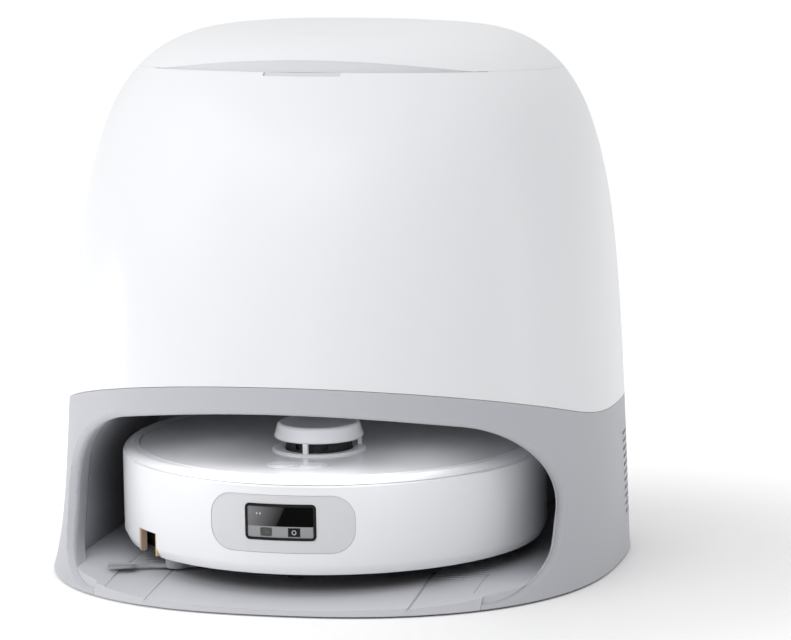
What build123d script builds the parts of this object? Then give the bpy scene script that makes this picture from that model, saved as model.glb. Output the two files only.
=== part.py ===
from build123d import *
import os
from math import asin, copysign, cos, degrees, pi, radians, sin, sqrt, tan

# Round robot vacuum parked in its docking station.
# Millimetres. +Z up, the mouth of the garage faces -Y, origin on the floor under the middle of the dock.

# Fits
GAP = 0.3
RUNNING_FIT = 0.05
PART_LINE = 0.4

# Dock outline: a dome whose plan is half an ellipse in front and a squarer curve behind
DOCK_HEIGHT = 440.0
DOCK_HALF_WIDTH = 235.0
DOCK_FRONT_REACH = 225.0
DOCK_REAR_REACH = 197.0
DOCK_CENTRE_Y = 18.0
DOCK_BACK_LEAN = 41.0
SKIRT_FLARE = 8.46
SKIRT_HEIGHT = 70.0
DOCK_WALL = 3.5
UNDERSIDE_Z = 1.2

# Line between the white dome and the grey garage, which falls from the front and levels out at the sides
SEAM_TOP_Z = 177.0
SEAM_FRONT_Y = -183.0
SEAM_SIDE_Z = 131.2
SEAM_SIDE_Y = -21.0
SEAM_BEND = 34.0

# Garage mouth
MOUTH_HALF_WIDTH = 200.0
MOUTH_TOP_Z = 155.0
MOUTH_SHOULDER_X = 140.0
MOUTH_SHOULDER_Z = 141.0
MOUTH_KNEE_Z = 58.0
MOUTH_HEEL_Z = 36.0
MOUTH_LIP_X = 160.0
LIP_Z = 5.0
LINER_WALL = 2.5
RIM_WIDTH = 16.0
RIM_DEPTH = 18.0
RIM_ROUND = 5.0
GARAGE_BACK_Y = 183.0

# Base tray
TRAY_FLOOR_Z = 13.0
RAMP_TOP_Y = -120.0
RAMP_FRONT_Y = -215.0
LANE_X = 129.0
LANE_WIDTH = 42.0
LANE_BACK_Y = 12.0
RIB_PITCH = 7.0
RIB_WIDTH = 3.0
RIB_DEPTH = 0.6
FOOT_RADIUS = 13.0
FOOT_X = 165.0
FOOT_FRONT_Y = -95.0
FOOT_REAR_Y = 145.0

# Top lid
LID_FRONT_Z = 415.5
LID_FRONT_Y = -84.5
LID_SLOPE = 4.3
LID_BROW_HALF_WIDTH = 135.0
LID_BROW_TOP_Z = 424.0
LID_BROW_TIP_Y = -31.0
FINGER_NOTCH_WIDTH = 64.0
FINGER_NOTCH_DEPTH = 2.5
HINGE_X = 77.0
HINGE_OFFSET = 7.5
KNUCKLE_RADIUS = 6.0
KNUCKLE_WIDTH = 17.0
HINGE_PIN_RADIUS = 3.0
LUG_WIDTH = 10.0

# Inside the dome
DECK_Z = 186.0
DECK_THICKNESS = 4.0
TANK_INSET = 8.0
TANK_INNER_X = 74.0
TANK_FRONT_Y = -60.0
TANK_BACK_Y = 140.0
TANK_TOP_Z = 384.0
TANK_CAP_RADIUS = 24.0
TANK_CAP_HEIGHT = 7.0
BAG_HALF_WIDTH = 60.0
BAG_FRONT_Y = -112.0
BAG_BACK_Y = -12.0
BAG_TOP_Z = 335.0
MOTOR_RADIUS = 52.0
MOTOR_HEIGHT = 105.0
MOTOR_Y = 62.0
DUCT_HALF_WIDTH = 26.0
DUCT_DEPTH = 16.0
DUCT_WALL = 2.0
DUCT_TOP_Z = 183.0

# Rear panel, vents and inlet
PANEL_HALF_WIDTH = 105.0
PANEL_BOTTOM_Z = 205.0
PANEL_TOP_Z = 355.0
VENT_FRONT_Y = 48.0
VENT_BACK_Y = 128.0
VENT_BOTTOM_Z = 28.0
VENT_TOP_Z = 108.0
VENT_PITCH = 6.6
VENT_SLOT = 3.0
VENT_MARGIN = 6.0
INLET_X = -62.0
INLET_Z = 34.0
INLET_WIDTH = 26.0
INLET_HEIGHT = 18.0

# Charging contacts and dust port at the back of the garage
CONTACT_X = 42.0
CONTACT_Z = 66.0
CONTACT_WIDTH = 20.0
CONTACT_HEIGHT = 8.0
CONTACT_GAP = 0.5
BLOCK_WALL = 4.0
GUIDE_DEPTH = 8.0
PORT_HALF_WIDTH = 22.0
PORT_HEIGHT = 20.0
PORT_LIP = 4.0

# Robot
ROBOT_Y = -5.0
ROBOT_RADIUS = 175.0
RIM_Z = 12.0
BUMPER_TOP_Z = 85.0
BUMPER_WALL = 4.5
BUMPER_TRAVEL = 4.0
BUMPER_BACK_Y = 25.0
RIM_CHAMFER = 8.0
COVER_RADIUS = 160.6
COVER_TOP_Z = 90.0
BUTTON_PROUD = 0.2
COVER_THICKNESS = 4.0
GROOVE = 0.8
CHASSIS_RADIUS = 165.0
CHASSIS_Z = 12.5
CHASSIS_THICKNESS = 3.5
FRAME_RADIUS = 161.0
FRAME_WALL = 3.0
MOP_BAY_Y = 5.0
MOP_BAY_Z = 32.0

# Bumper front
PANEL_WIDTH = 119.0
PANEL_CORNER = 19.0
PANEL_Z = 53.5
PANEL_HEIGHT = 47.0
PANEL_RECESS = 2.0
WINDOW_WIDTH = 58.0
WINDOW_HEIGHT = 29.0
WINDOW_Z = 55.0
WINDOW_BORDER = 2.0
STRIP_HEIGHT = 9.0
EYE_X = 11.5
EYE_WIDTH = 9.9
EYE_HEIGHT = 7.2
LENS_RADIUS = 2.4
NOTCH_ANGLE = 46.5
NOTCH_WIDTH = 30.0
NOTCH_HEIGHT = 20.0

# Turret
TURRET_Y = -49.7
TURRET_RADIUS = 36.5
TURRET_FOOT_RADIUS = 39.0
TURRET_SILL_Z = 92.0
TURRET_CAP_Z = 100.5
TURRET_TOP_Z = 113.0
TURRET_POSTS = 3
POST_WIDTH = 4.0
TURRET_DISC_RADIUS = 30.0
TURRET_TAPER = 2.3
TURRET_ROUND = 3.2
TURRET_DISC_DEPTH = 1.2
HEAD_RADIUS = 27.0

# Buttons
BUTTON_Y = -118.5
BUTTON_PLATE_WIDTH = 50.0
BUTTON_PLATE_DEPTH = 25.0
BUTTON_WIDTH = 19.0
BUTTON_DEPTH = 14.0
BUTTON_X = 11.5
BUTTON_TRAVEL = 0.8

# Drive wheels
WHEEL_X = 126.0
WHEEL_Y = -34.0
WHEEL_RADIUS = 36.0
WHEEL_WIDTH = 22.0
HUB_RADIUS = 28.0
TREAD_COUNT = 24
TREAD_DEPTH = 2.0
AXLE_RADIUS = 4.0
ARM_X = 99.0
ARM_WIDTH = 13.0
ARM_HALF_HEIGHT = 12.0
ARM_PIVOT_Y = -82.0
ARM_PIVOT_Z = 50.0
POST_THICKNESS = 9.0

# Caster
CASTER_Y = -134.0
CASTER_TRAIL = 5.0
CASTER_WHEEL_RADIUS = 12.0
CASTER_WHEEL_WIDTH = 13.0
CASTER_POCKET_RADIUS = 24.0
CASTER_STEM_RADIUS = 5.0
CASTER_AXLE_RADIUS = 2.0
FORK_CHEEK = 3.0

# Brushes
BRUSH_Y = -75.0
BRUSH_Z = 24.0
BRUSH_RADIUS = 19.5
BRUSH_CORE_RADIUS = 11.0
BRUSH_HALF_LENGTH = 87.0
BRUSH_BLADES = 5
BLADE_WIDTH = 2.6
BLADE_TWIST = 70.0
TUNNEL_RADIUS = 22.0
TUNNEL_WALL = 2.5
TUNNEL_HALF_LENGTH = 94.0
SIDE_BRUSH_X = -104.0
SIDE_BRUSH_Y = -112.0
SIDE_BRUSH_REACH = 57.0
SIDE_BRUSH_ARMS = 2
SIDE_BRUSH_Z = 1.5
SIDE_BRUSH_HUB_RADIUS = 10.0
SIDE_BRUSH_START = 192.0

# Mops
MOP_X = 70.0
MOP_Y = 77.0
MOP_PAD_RADIUS = 65.0
MOP_PLATE_RADIUS = 62.0
MOP_PAD_THICKNESS = 6.7
MOP_PLATE_THICKNESS = 4.0
MOP_SHAFT_RADIUS = 5.0
MOP_HUB_RADIUS = 12.0
MOP_HUB_TOP_Z = 20.0
MOP_LIFT = 10.0
CARRIER_THICKNESS = 9.0
BOARD_RIB_PITCH = 9.0

# Inside the robot
BATTERY_HALF_WIDTH = 78.0
BATTERY_DEPTH = 44.0
BATTERY_HEIGHT = 35.0
BIN_HALF_WIDTH = 74.0
BIN_FRONT_Y = 14.0
BIN_DEPTH = 105.0

# Worked-out places
FLOOR = TRAY_FLOOR_Z + GAP
PARK = Pos(0, ROBOT_Y, FLOOR)
FAR = 2 * DOCK_HEIGHT


def slab(x, y, z):
    """Box between two X, two Y and two Z planes."""
    size = [max(pair) - min(pair) for pair in (x, y, z)]
    return Pos(min(x), min(y), min(z)) * Box(*size, align=(Align.MIN, Align.MIN, Align.MIN))


def drum(radius, z_low, z_high, x=0.0, y=0.0):
    """Upright cylinder between two heights."""
    return Pos(x, y, z_low) * Cylinder(radius, z_high - z_low, align=(Align.CENTER, Align.CENTER, Align.MIN))


def rod(radius, x_low, x_high, y, z):
    """Cylinder along X between two planes."""
    middle = (x_low + x_high) / 2
    return Pos(middle, y, z) * Rot(0, 90, 0) * Cylinder(radius, x_high - x_low)


def mirrored(shape):
    """The same shape on the other side of the X = 0 plane."""
    return mirror(shape, about=Plane.YZ)


def both_sides(shape):
    """A shape and its mirror image as one group."""
    return Compound(children=[shape, mirrored(shape)])


# Dock outline
def dome_reach(height, inset=0.0):
    """Half width, front reach, rear reach and plan centre of the dome at a height."""
    rise = height / (DOCK_HEIGHT - inset)
    half_width = (DOCK_HALF_WIDTH - inset) * (1 - 0.073 * rise) * (1 - rise ** 4.94) ** (1 / 4.94)
    front = (DOCK_FRONT_REACH - inset) * (1 - 0.069 * rise) * (1 - rise ** 4.14) ** (1 / 4.14)
    front += SKIRT_FLARE * skirt(height)
    rear = (DOCK_REAR_REACH - inset) * (1 - 0.018 * rise) * (1 - rise ** 6) ** (1 / 6)
    rear -= DOCK_BACK_LEAN * rise
    return half_width, front, rear, DOCK_CENTRE_Y + DOCK_BACK_LEAN * rise


def skirt(height):
    """Share of the flare at the foot of the dock, one at the floor and none above the skirt."""
    return max(0.0, 1 - height / SKIRT_HEIGHT) ** 2


def dome_section(height, inset=0.0, corners=24):
    """Plan outline of the dome at a height, drawn in by an inset."""
    half_width, front, rear, centre = dome_reach(height, inset)
    points = []
    for step in range(corners):
        turn = pi / 2 + 2 * pi * step / corners
        across, along = cos(turn), sin(turn)
        power = 2 / (2.0 + 0.4 * skirt(height)) if along < 0 else 2 / 2.75
        reach = front if along < 0 else rear
        x = half_width * copysign(abs(across) ** power, across)
        y = centre + reach * copysign(abs(along) ** power, along)
        points.append((x, y, height))
    return Wire([Spline(*points, periodic=True)])


def dome(foot, inset=0.0):
    """Solid dome from a foot height to the crown."""
    crown = DOCK_HEIGHT - inset
    shares = (0.1, 0.2, 0.4, 0.58, 0.72, 0.83, 0.91, 0.955, 0.982, 0.998)
    heights = [foot] + [crown * share for share in shares if crown * share > foot + SKIRT_HEIGHT / 4]
    return Solid.make_loft([dome_section(height, inset) for height in heights])


def below_seam(raised=0.0):
    """Everything under the line where the white dome meets the grey garage."""
    fall = (SEAM_TOP_Z - SEAM_SIDE_Z) / (SEAM_SIDE_Y - SEAM_FRONT_Y)
    side = SEAM_SIDE_Z + raised
    run = SEAM_BEND / sqrt(1 + fall ** 2)
    start = (SEAM_SIDE_Y - run, side + run * fall)
    end = (SEAM_SIDE_Y + SEAM_BEND, side)
    with BuildSketch(Plane.YZ) as profile:
        with BuildLine():
            Line((-FAR, side + (SEAM_SIDE_Y + FAR) * fall), start)
            TangentArc(start, end, tangent=(1, -fall))
            Polyline(end, (FAR, side), (FAR, -FAR), (-FAR, -FAR), (-FAR, side + (SEAM_SIDE_Y + FAR) * fall))
        make_face()
    return extrude(profile.sketch, amount=FAR, both=True)


def lid_plane_z(y):
    """Height of the parting plane of the lid."""
    return LID_FRONT_Z - (y - LID_FRONT_Y) * tan(radians(LID_SLOPE))


def above_lid_plane(raised=0.0):
    """Everything over the parting plane of the lid."""
    block = Box(FAR, FAR, DOCK_HEIGHT, align=(Align.CENTER, Align.CENTER, Align.MIN))
    return Pos(0, 0, lid_plane_z(0) + raised) * Rot(-LID_SLOPE, 0, 0) * block


def mouth(inset=0.0, front=-FAR, back=DOCK_CENTRE_Y, open_floor=False):
    """Prism of the garage mouth, run along Y."""
    side = MOUTH_HALF_WIDTH - inset
    shoulder = (MOUTH_SHOULDER_X - inset * 0.3, MOUTH_SHOULDER_Z - inset * 0.95)
    knee = (side, MOUTH_KNEE_Z)
    corner = (side - (side - shoulder[0]) * 0.31, knee[1] + (shoulder[1] - knee[1]) * 0.7)
    heel = (side - 1, MOUTH_HEEL_Z)
    lip = (MOUTH_LIP_X, LIP_Z)
    toe = (lip[0] + (heel[0] - lip[0]) * 0.74, lip[1] + (heel[1] - lip[1]) * 0.3)
    left = lambda point: (-point[0], point[1])
    with BuildSketch(Plane.XZ) as outline:
        with BuildLine():
            ThreePointArc(left(shoulder), (0, MOUTH_TOP_Z - inset), shoulder)
            ThreePointArc(shoulder, corner, knee)
            Line(knee, heel)
            if open_floor:
                Polyline(heel, (heel[0], UNDERSIDE_Z), left((heel[0], UNDERSIDE_Z)), left(heel))
            else:
                ThreePointArc(heel, toe, lip)
                Line(lip, left(lip))
                ThreePointArc(left(lip), left(toe), left(heel))
            Line(left(heel), left(knee))
            ThreePointArc(left(knee), left(corner), left(shoulder))
        make_face()
    return Pos(0, back, 0) * extrude(outline.sketch, amount=back - front)


OUTER = dome(UNDERSIDE_Z)
INNER = dome(UNDERSIDE_Z, DOCK_WALL)
SHELL = OUTER - INNER
FITTED = dome(UNDERSIDE_Z, DOCK_WALL + GAP)
HINGE_Y = dome_reach(lid_plane_z(DOCK_CENTRE_Y + DOCK_REAR_REACH))[3] + HINGE_OFFSET
HINGE_Y += dome_reach(lid_plane_z(DOCK_CENTRE_Y + DOCK_REAR_REACH))[2]
HINGE_Z = lid_plane_z(HINGE_Y)


def rim_collar(margin=0.0):
    """Solid band of the housing around the garage mouth, on both sides of the front lip."""
    collar = OUTER - dome(UNDERSIDE_Z, RIM_DEPTH + margin)
    collar &= mouth(-RIM_WIDTH - margin)
    collar -= slab((margin - MOUTH_LIP_X, MOUTH_LIP_X - margin), (-FAR, FAR), (0, TRAY_FLOOR_Z))
    return collar - mouth(margin)


def front_lip(margin=0.0):
    """Space of the front lip, which the tray fills between the feet of the mouth."""
    reach = MOUTH_LIP_X - margin
    return slab((-reach, reach), (-FAR, RAMP_TOP_Y), (0, TRAY_FLOOR_Z))


def ramp_air(drop=0.0):
    """Space over the garage floor and its ramp, lowered by a drop."""
    with BuildSketch(Plane.YZ) as wedge:
        with BuildLine():
            Polyline(
                (DOCK_CENTRE_Y, TRAY_FLOOR_Z - drop),
                (RAMP_TOP_Y, TRAY_FLOOR_Z - drop),
                (RAMP_FRONT_Y, LIP_Z - drop),
                (2 * RAMP_FRONT_Y, LIP_Z - drop),
                (2 * RAMP_FRONT_Y, 2 * TRAY_FLOOR_Z),
                (DOCK_CENTRE_Y, 2 * TRAY_FLOOR_Z),
                close=True,
            )
        make_face()
    return extrude(wedge.sketch, amount=DOCK_HALF_WIDTH, both=True)


def softened(shape, edges, radius):
    """Shape with edges rounded to a radius, or to half of it where the wall is too thin."""
    for size in (radius, radius / 2):
        try:
            rounded = fillet(edges, size)
        except ValueError:
            continue
        if rounded.is_valid:
            return rounded
    return shape


# Base of the dock
def base_tray():
    """Floor of the garage with its front lip, ramp, ribbed wheel lanes and room for the wash board."""
    tray = FITTED & slab((-FAR, FAR), (-FAR, FAR), (UNDERSIDE_Z, TRAY_FLOOR_Z))
    tray += OUTER & front_lip(GAP)
    tray -= rim_collar(GAP)
    tray -= ramp_air()
    lane_x = (LANE_X - LANE_WIDTH / 2, LANE_X + LANE_WIDTH / 2)
    lane_y = (RAMP_FRONT_Y + 2 * RIB_PITCH, LANE_BACK_Y)
    lane = ramp_air(RIB_DEPTH) & slab(lane_x, lane_y, (0, 2 * TRAY_FLOOR_Z))
    y = RAMP_TOP_Y + RIB_PITCH
    while y < LANE_BACK_Y - RIB_WIDTH:
        lane -= slab(lane_x, (y, y + RIB_WIDTH), (0, TRAY_FLOOR_Z))
        y += RIB_PITCH
    tray -= both_sides(lane)
    for x in (-MOP_X, MOP_X):
        tray -= drum(MOP_PAD_RADIUS, TRAY_FLOOR_Z - 2, TRAY_FLOOR_Z + 1, x, MOP_Y + ROBOT_Y)
    return tray


def base_feet():
    """Four rubber feet under the tray."""
    places = [(x, y) for x in (-FOOT_X, FOOT_X) for y in (FOOT_FRONT_Y, FOOT_REAR_Y)]
    return Compound(children=[drum(FOOT_RADIUS, 0, UNDERSIDE_Z, x, y) for x, y in places])


def wash_board():
    """Two ribbed discs that scrub the mop pads, sunk in the tray."""
    discs = []
    bed_z = TRAY_FLOOR_Z - 2
    for x in (-MOP_X, MOP_X):
        disc = drum(MOP_PAD_RADIUS - GAP, bed_z, TRAY_FLOOR_Z + 1, x, MOP_Y + ROBOT_Y)
        y = MOP_Y + ROBOT_Y - MOP_PAD_RADIUS + BOARD_RIB_PITCH
        while y < MOP_Y + ROBOT_Y + MOP_PAD_RADIUS - BOARD_RIB_PITCH:
            reach = (x - MOP_PAD_RADIUS, x + MOP_PAD_RADIUS)
            disc -= slab(reach, (y, y + BOARD_RIB_PITCH / 2), (TRAY_FLOOR_Z - 0.5, TRAY_FLOOR_Z + 2))
            y += BOARD_RIB_PITCH
        discs.append(disc)
    return Compound(children=discs)


def vent_zone(margin=0.0):
    """Block that marks the vent in the right side of the garage."""
    return slab(
        (DOCK_HALF_WIDTH / 2, DOCK_HALF_WIDTH * 1.2),
        (VENT_FRONT_Y + margin, VENT_BACK_Y - margin),
        (VENT_BOTTOM_Z + margin, VENT_TOP_Z - margin),
    )


def inlet_block(margin=0.0):
    """Block of the mains inlet, run through the back wall."""
    half = INLET_WIDTH / 2 + margin
    back = DOCK_CENTRE_Y + DOCK_REAR_REACH
    return slab(
        (INLET_X - half, INLET_X + half),
        (back - 24, back + 5),
        (INLET_Z - INLET_HEIGHT / 2 - margin, INLET_Z + INLET_HEIGHT / 2 + margin),
    )


def lower_housing():
    """Grey garage housing under the seam with a rounded mouth, open at the vents and the inlet."""
    plug = OUTER & mouth()
    housing = (SHELL + rim_collar()) & below_seam()
    housing -= mouth()
    rim = [edge for edge in plug.edges() if edge.bounding_box().max.Y < DOCK_CENTRE_Y - 1]
    rim = [edge for edge in rim if edge.bounding_box().max.Z > LIP_Z + 1]
    soft = []
    for edge in housing.edges():
        near = [other for other in rim if (edge.center() - other.center()).length < 0.1]
        if any(abs(edge.length - other.length) < 0.1 for other in near):
            soft.append(edge)
    housing = softened(housing, soft, RIM_ROUND)
    housing -= front_lip()
    housing -= vent_zone()
    housing -= mirrored(vent_zone())
    housing -= inlet_block(GAP)
    return housing


def vent_panel():
    """Louvred panel in the right side of the garage."""
    panel = SHELL & vent_zone(GAP)
    z = VENT_BOTTOM_Z + VENT_MARGIN
    while z + VENT_SLOT < VENT_TOP_Z - VENT_MARGIN / 2:
        reach = (VENT_FRONT_Y + VENT_MARGIN, VENT_BACK_Y - VENT_MARGIN)
        panel -= slab((DOCK_HALF_WIDTH / 2, DOCK_HALF_WIDTH * 1.2), reach, (z, z + VENT_SLOT))
        z += VENT_PITCH
    return panel


def power_inlet():
    """Two-pin mains inlet with its figure-eight socket."""
    back = DOCK_CENTRE_Y + DOCK_REAR_REACH
    body = inlet_block() & dome(UNDERSIDE_Z)
    for side in (-1, 1):
        x = INLET_X + side * INLET_WIDTH / 5
        body -= Pos(x, back, INLET_Z) * Rot(90, 0, 0) * Cylinder(INLET_HEIGHT / 4, 28)
    for side in (-1, 1):
        x = INLET_X + side * INLET_WIDTH / 5
        body += Pos(x, back - 17, INLET_Z) * Rot(90, 0, 0) * Cylinder(1.2, 14)
    return body


def port_block(margin=0.0, front=None, back=None):
    """Block of the dust port at the back of the garage."""
    front = GARAGE_BACK_Y - 13 if front is None else front
    back = GARAGE_BACK_Y + 2 * LINER_WALL if back is None else back
    half = PORT_HALF_WIDTH + margin
    return slab(
        (-half, half),
        (front, back),
        (CONTACT_Z - PORT_HEIGHT / 2 - margin, CONTACT_Z + PORT_HEIGHT / 2 + margin),
    )


def contact_hole(side, margin):
    """Passage of one charging contact."""
    x = side * CONTACT_X
    half = CONTACT_WIDTH / 2 + margin
    return slab(
        (x - half, x + half),
        (ROBOT_Y, DOCK_REAR_REACH),
        (CONTACT_Z - CONTACT_HEIGHT / 2 - margin, CONTACT_Z + CONTACT_HEIGHT / 2 + margin),
    )


def garage_liner():
    """Dark tunnel around the parked robot with a closed back."""
    back = GARAGE_BACK_Y + LINER_WALL
    tunnel = mouth(-LINER_WALL, back=back, open_floor=True)
    tunnel -= mouth(back=GARAGE_BACK_Y, open_floor=True)
    tunnel &= FITTED
    rim = OUTER - dome(UNDERSIDE_Z, RIM_DEPTH + GAP)
    tunnel -= rim & slab((-FAR, FAR), (-FAR, DOCK_CENTRE_Y), (0, FAR))
    tunnel -= slab((-FAR, FAR), (-FAR, FAR), (-1, TRAY_FLOOR_Z + GAP))
    tunnel -= port_block()
    for side in (-1, 1):
        x = side * CONTACT_X
        half = CONTACT_WIDTH / 2 + BLOCK_WALL
        tall = CONTACT_HEIGHT / 2 + BLOCK_WALL
        depth = (GARAGE_BACK_Y - GUIDE_DEPTH, GARAGE_BACK_Y + 1)
        tunnel += slab((x - half, x + half), depth, (CONTACT_Z - tall, CONTACT_Z + tall))
        tunnel -= contact_hole(side, RUNNING_FIT * 4)
    return tunnel


def charging_contact(side):
    """One sprung contact, rounded where it meets the robot."""
    inner_x = CONTACT_X - CONTACT_WIDTH / 2
    nose_y = ROBOT_Y + sqrt(ROBOT_RADIUS ** 2 - inner_x ** 2) + CONTACT_GAP
    contact = contact_hole(side, 0) & slab((-FAR, FAR), (nose_y, GARAGE_BACK_Y), (0, FAR))
    nose = contact.edges().filter_by(Axis.X).sort_by(Axis.Y)[:2]
    return fillet(nose, CONTACT_HEIGHT / 4)


def dust_port_seal():
    """Rubber lip between the dust port of the robot and the duct."""
    seal = port_block(-GAP, back=GARAGE_BACK_Y + LINER_WALL)
    seal -= port_block(-PORT_LIP, front=0, back=FAR)
    return seal - Pos(0, ROBOT_Y, 0) * drum(ROBOT_RADIUS + 2 * GAP, 0, DECK_Z)


def dust_duct():
    """Flat duct that climbs behind the garage to the tank deck."""
    front = GARAGE_BACK_Y + LINER_WALL + GAP
    low = CONTACT_Z - PORT_HEIGHT
    half = DUCT_HALF_WIDTH
    duct = slab((-half, half), (front, front + DUCT_DEPTH), (low, DUCT_TOP_Z))
    core = half - DUCT_WALL
    depth = (front + DUCT_WALL, front + DUCT_DEPTH - DUCT_WALL)
    duct -= slab((-core, core), depth, (low + DUCT_WALL, DUCT_TOP_Z + 1))
    return duct - port_block(-PORT_LIP, front=0, back=front + DUCT_WALL + 1)


# Upper part of the dock
def rear_zone(margin=0.0):
    """Block that marks the service panel in the back of the dome."""
    return slab(
        (-PANEL_HALF_WIDTH + margin, PANEL_HALF_WIDTH - margin),
        (DOCK_CENTRE_Y + DOCK_BACK_LEAN, FAR),
        (PANEL_BOTTOM_Z + margin, PANEL_TOP_Z - margin),
    )


def hinge_lugs():
    """Two pairs of lugs on the back edge of the dome, bored for the hinge pins."""
    lugs = None
    inner = KNUCKLE_WIDTH / 2 + PART_LINE
    for x in (HINGE_X - inner - LUG_WIDTH, HINGE_X + inner):
        reach = (x, x + LUG_WIDTH)
        lug = rod(KNUCKLE_RADIUS, *reach, HINGE_Y, HINGE_Z)
        foot = (HINGE_Z - 3 * KNUCKLE_RADIUS, HINGE_Z)
        lug += slab(reach, (HINGE_Y - HINGE_OFFSET, HINGE_Y + KNUCKLE_RADIUS), foot) - INNER
        lugs = lug if lugs is None else lugs + lug
    lugs -= rod(HINGE_PIN_RADIUS + RUNNING_FIT, 0, FAR, HINGE_Y, HINGE_Z)
    return lugs


def upper_housing():
    """White dome between the seam and the lid, open at the back for the service panel."""
    housing = SHELL - below_seam(PART_LINE)
    housing -= above_lid_plane()
    housing -= rear_zone()
    notch = FINGER_NOTCH_WIDTH / 2
    depth = (LID_FRONT_Z - FINGER_NOTCH_DEPTH, DOCK_HEIGHT)
    housing -= slab((-notch, notch), (-FAR, 0), depth)
    housing += hinge_lugs()
    housing += mirrored(hinge_lugs())
    return housing


def rear_panel():
    """Service panel in the back of the dome."""
    return SHELL & rear_zone(GAP)


def lid_brow():
    """Shallow arch cut from the front edge of the lid, its tips on the parting plane."""
    rise = LID_BROW_TOP_Z - lid_plane_z(LID_BROW_TIP_Y)
    radius = (LID_BROW_HALF_WIDTH ** 2 + rise ** 2) / (2 * rise)
    arch = Pos(0, 0, LID_BROW_TOP_Z - radius) * Rot(90, 0, 0) * Cylinder(radius, FAR)
    return arch & slab((-FAR, FAR), (-FAR, DOCK_CENTRE_Y), (0, FAR))


def top_lid():
    """White lid with its hinge knuckles and the arched brow over the finger grip."""
    lid = SHELL & above_lid_plane(PART_LINE)
    lid -= lid_brow()
    reach = (HINGE_X - KNUCKLE_WIDTH / 2, HINGE_X + KNUCKLE_WIDTH / 2)
    knuckle = rod(KNUCKLE_RADIUS, *reach, HINGE_Y, HINGE_Z)
    arm_z = (HINGE_Z + PART_LINE * 2, HINGE_Z + KNUCKLE_RADIUS)
    arm = slab(reach, (HINGE_Y - 2 * HINGE_OFFSET, HINGE_Y), arm_z)
    knuckle += (arm & above_lid_plane(PART_LINE)) - INNER
    knuckle -= rod(HINGE_PIN_RADIUS + RUNNING_FIT, 0, FAR, HINGE_Y, HINGE_Z)
    return lid + knuckle + mirrored(knuckle)


def lid_hinge_pins():
    """Two steel pins in the lugs of the dome."""
    length = KNUCKLE_WIDTH / 2 + PART_LINE + LUG_WIDTH
    pin = rod(HINGE_PIN_RADIUS, HINGE_X - length, HINGE_X + length, HINGE_Y, HINGE_Z)
    return both_sides(pin)


def lid_grip_insert():
    """Curved panel behind the brow of the lid, where fingers reach in."""
    outer_inset = 1.2 * DOCK_WALL
    inner_inset = 1.9 * DOCK_WALL
    low_z = lid_plane_z(DOCK_CENTRE_Y) - 3 * DOCK_WALL
    core = dome(UNDERSIDE_Z, inner_inset)
    band_z = (low_z, LID_BROW_TOP_Z)
    half = LID_BROW_HALF_WIDTH + 4 * DOCK_WALL
    width = (-half, half)
    band = dome(UNDERSIDE_Z, outer_inset) & slab(width, (-FAR, DOCK_CENTRE_Y), band_z)
    flange = FITTED & slab(width, (-FAR, DOCK_CENTRE_Y), (low_z, low_z + 2))
    return band + flange - core


# Inside the dome
def tank_deck():
    """Shelf that carries the tanks and closes the garage from above."""
    return FITTED & slab((-FAR, FAR), (-FAR, FAR), (DECK_Z, DECK_Z + DECK_THICKNESS))


def water_tank():
    """Right-hand water tank, shaped to the dome, with a filler neck recess."""
    floor = DECK_Z + DECK_THICKNESS
    tank = dome(UNDERSIDE_Z, TANK_INSET)
    tank &= slab((TANK_INNER_X, FAR), (TANK_FRONT_Y, TANK_BACK_Y), (floor, TANK_TOP_Z))
    grip_x = (TANK_INNER_X + 22, TANK_INNER_X + 72)
    grip = slab(grip_x, (TANK_BACK_Y - 70, TANK_BACK_Y - 44), (TANK_TOP_Z - 22, FAR))
    return tank - grip


def tank_cap():
    """Screw cap on the right-hand tank with grip flutes."""
    x = TANK_INNER_X + TANK_CAP_RADIUS + 16
    y = TANK_FRONT_Y + TANK_CAP_RADIUS + 34
    cap = drum(TANK_CAP_RADIUS, TANK_TOP_Z, TANK_TOP_Z + TANK_CAP_HEIGHT, x, y)
    for step in range(12):
        turn = 2 * pi * step / 12
        place = (x + TANK_CAP_RADIUS * cos(turn), y + TANK_CAP_RADIUS * sin(turn))
        cap -= drum(2.2, TANK_TOP_Z - 1, TANK_TOP_Z + TANK_CAP_HEIGHT + 1, *place)
    return cap


def dust_bag():
    """Paper dust bag in the middle bay."""
    floor = DECK_Z + DECK_THICKNESS
    bag = slab((-BAG_HALF_WIDTH, BAG_HALF_WIDTH), (BAG_FRONT_Y, BAG_BACK_Y), (floor, BAG_TOP_Z))
    return fillet(bag.edges().filter_by(Axis.Z), BAG_HALF_WIDTH / 3)


def suction_motor():
    """Blower that empties the robot, with its cooling fins."""
    floor = DECK_Z + DECK_THICKNESS
    motor = drum(MOTOR_RADIUS, floor, floor + MOTOR_HEIGHT, 0, MOTOR_Y)
    for step in range(4):
        z = floor + MOTOR_HEIGHT * (0.3 + 0.15 * step)
        ring = drum(MOTOR_RADIUS + 1, z, z + 5, 0, MOTOR_Y) - drum(MOTOR_RADIUS - 4, z, z + 5, 0, MOTOR_Y)
        motor -= ring
    return motor


# Robot body
def half_ring(inner, outer, z_low, z_high):
    """Upright tube around the robot's middle."""
    return drum(outer, z_low, z_high) - drum(inner, z_low - 1, z_high + 1)


def front_of(y):
    """Everything in front of a Y plane."""
    return slab((-FAR, FAR), (-FAR, y), (-FAR, FAR))


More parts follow.
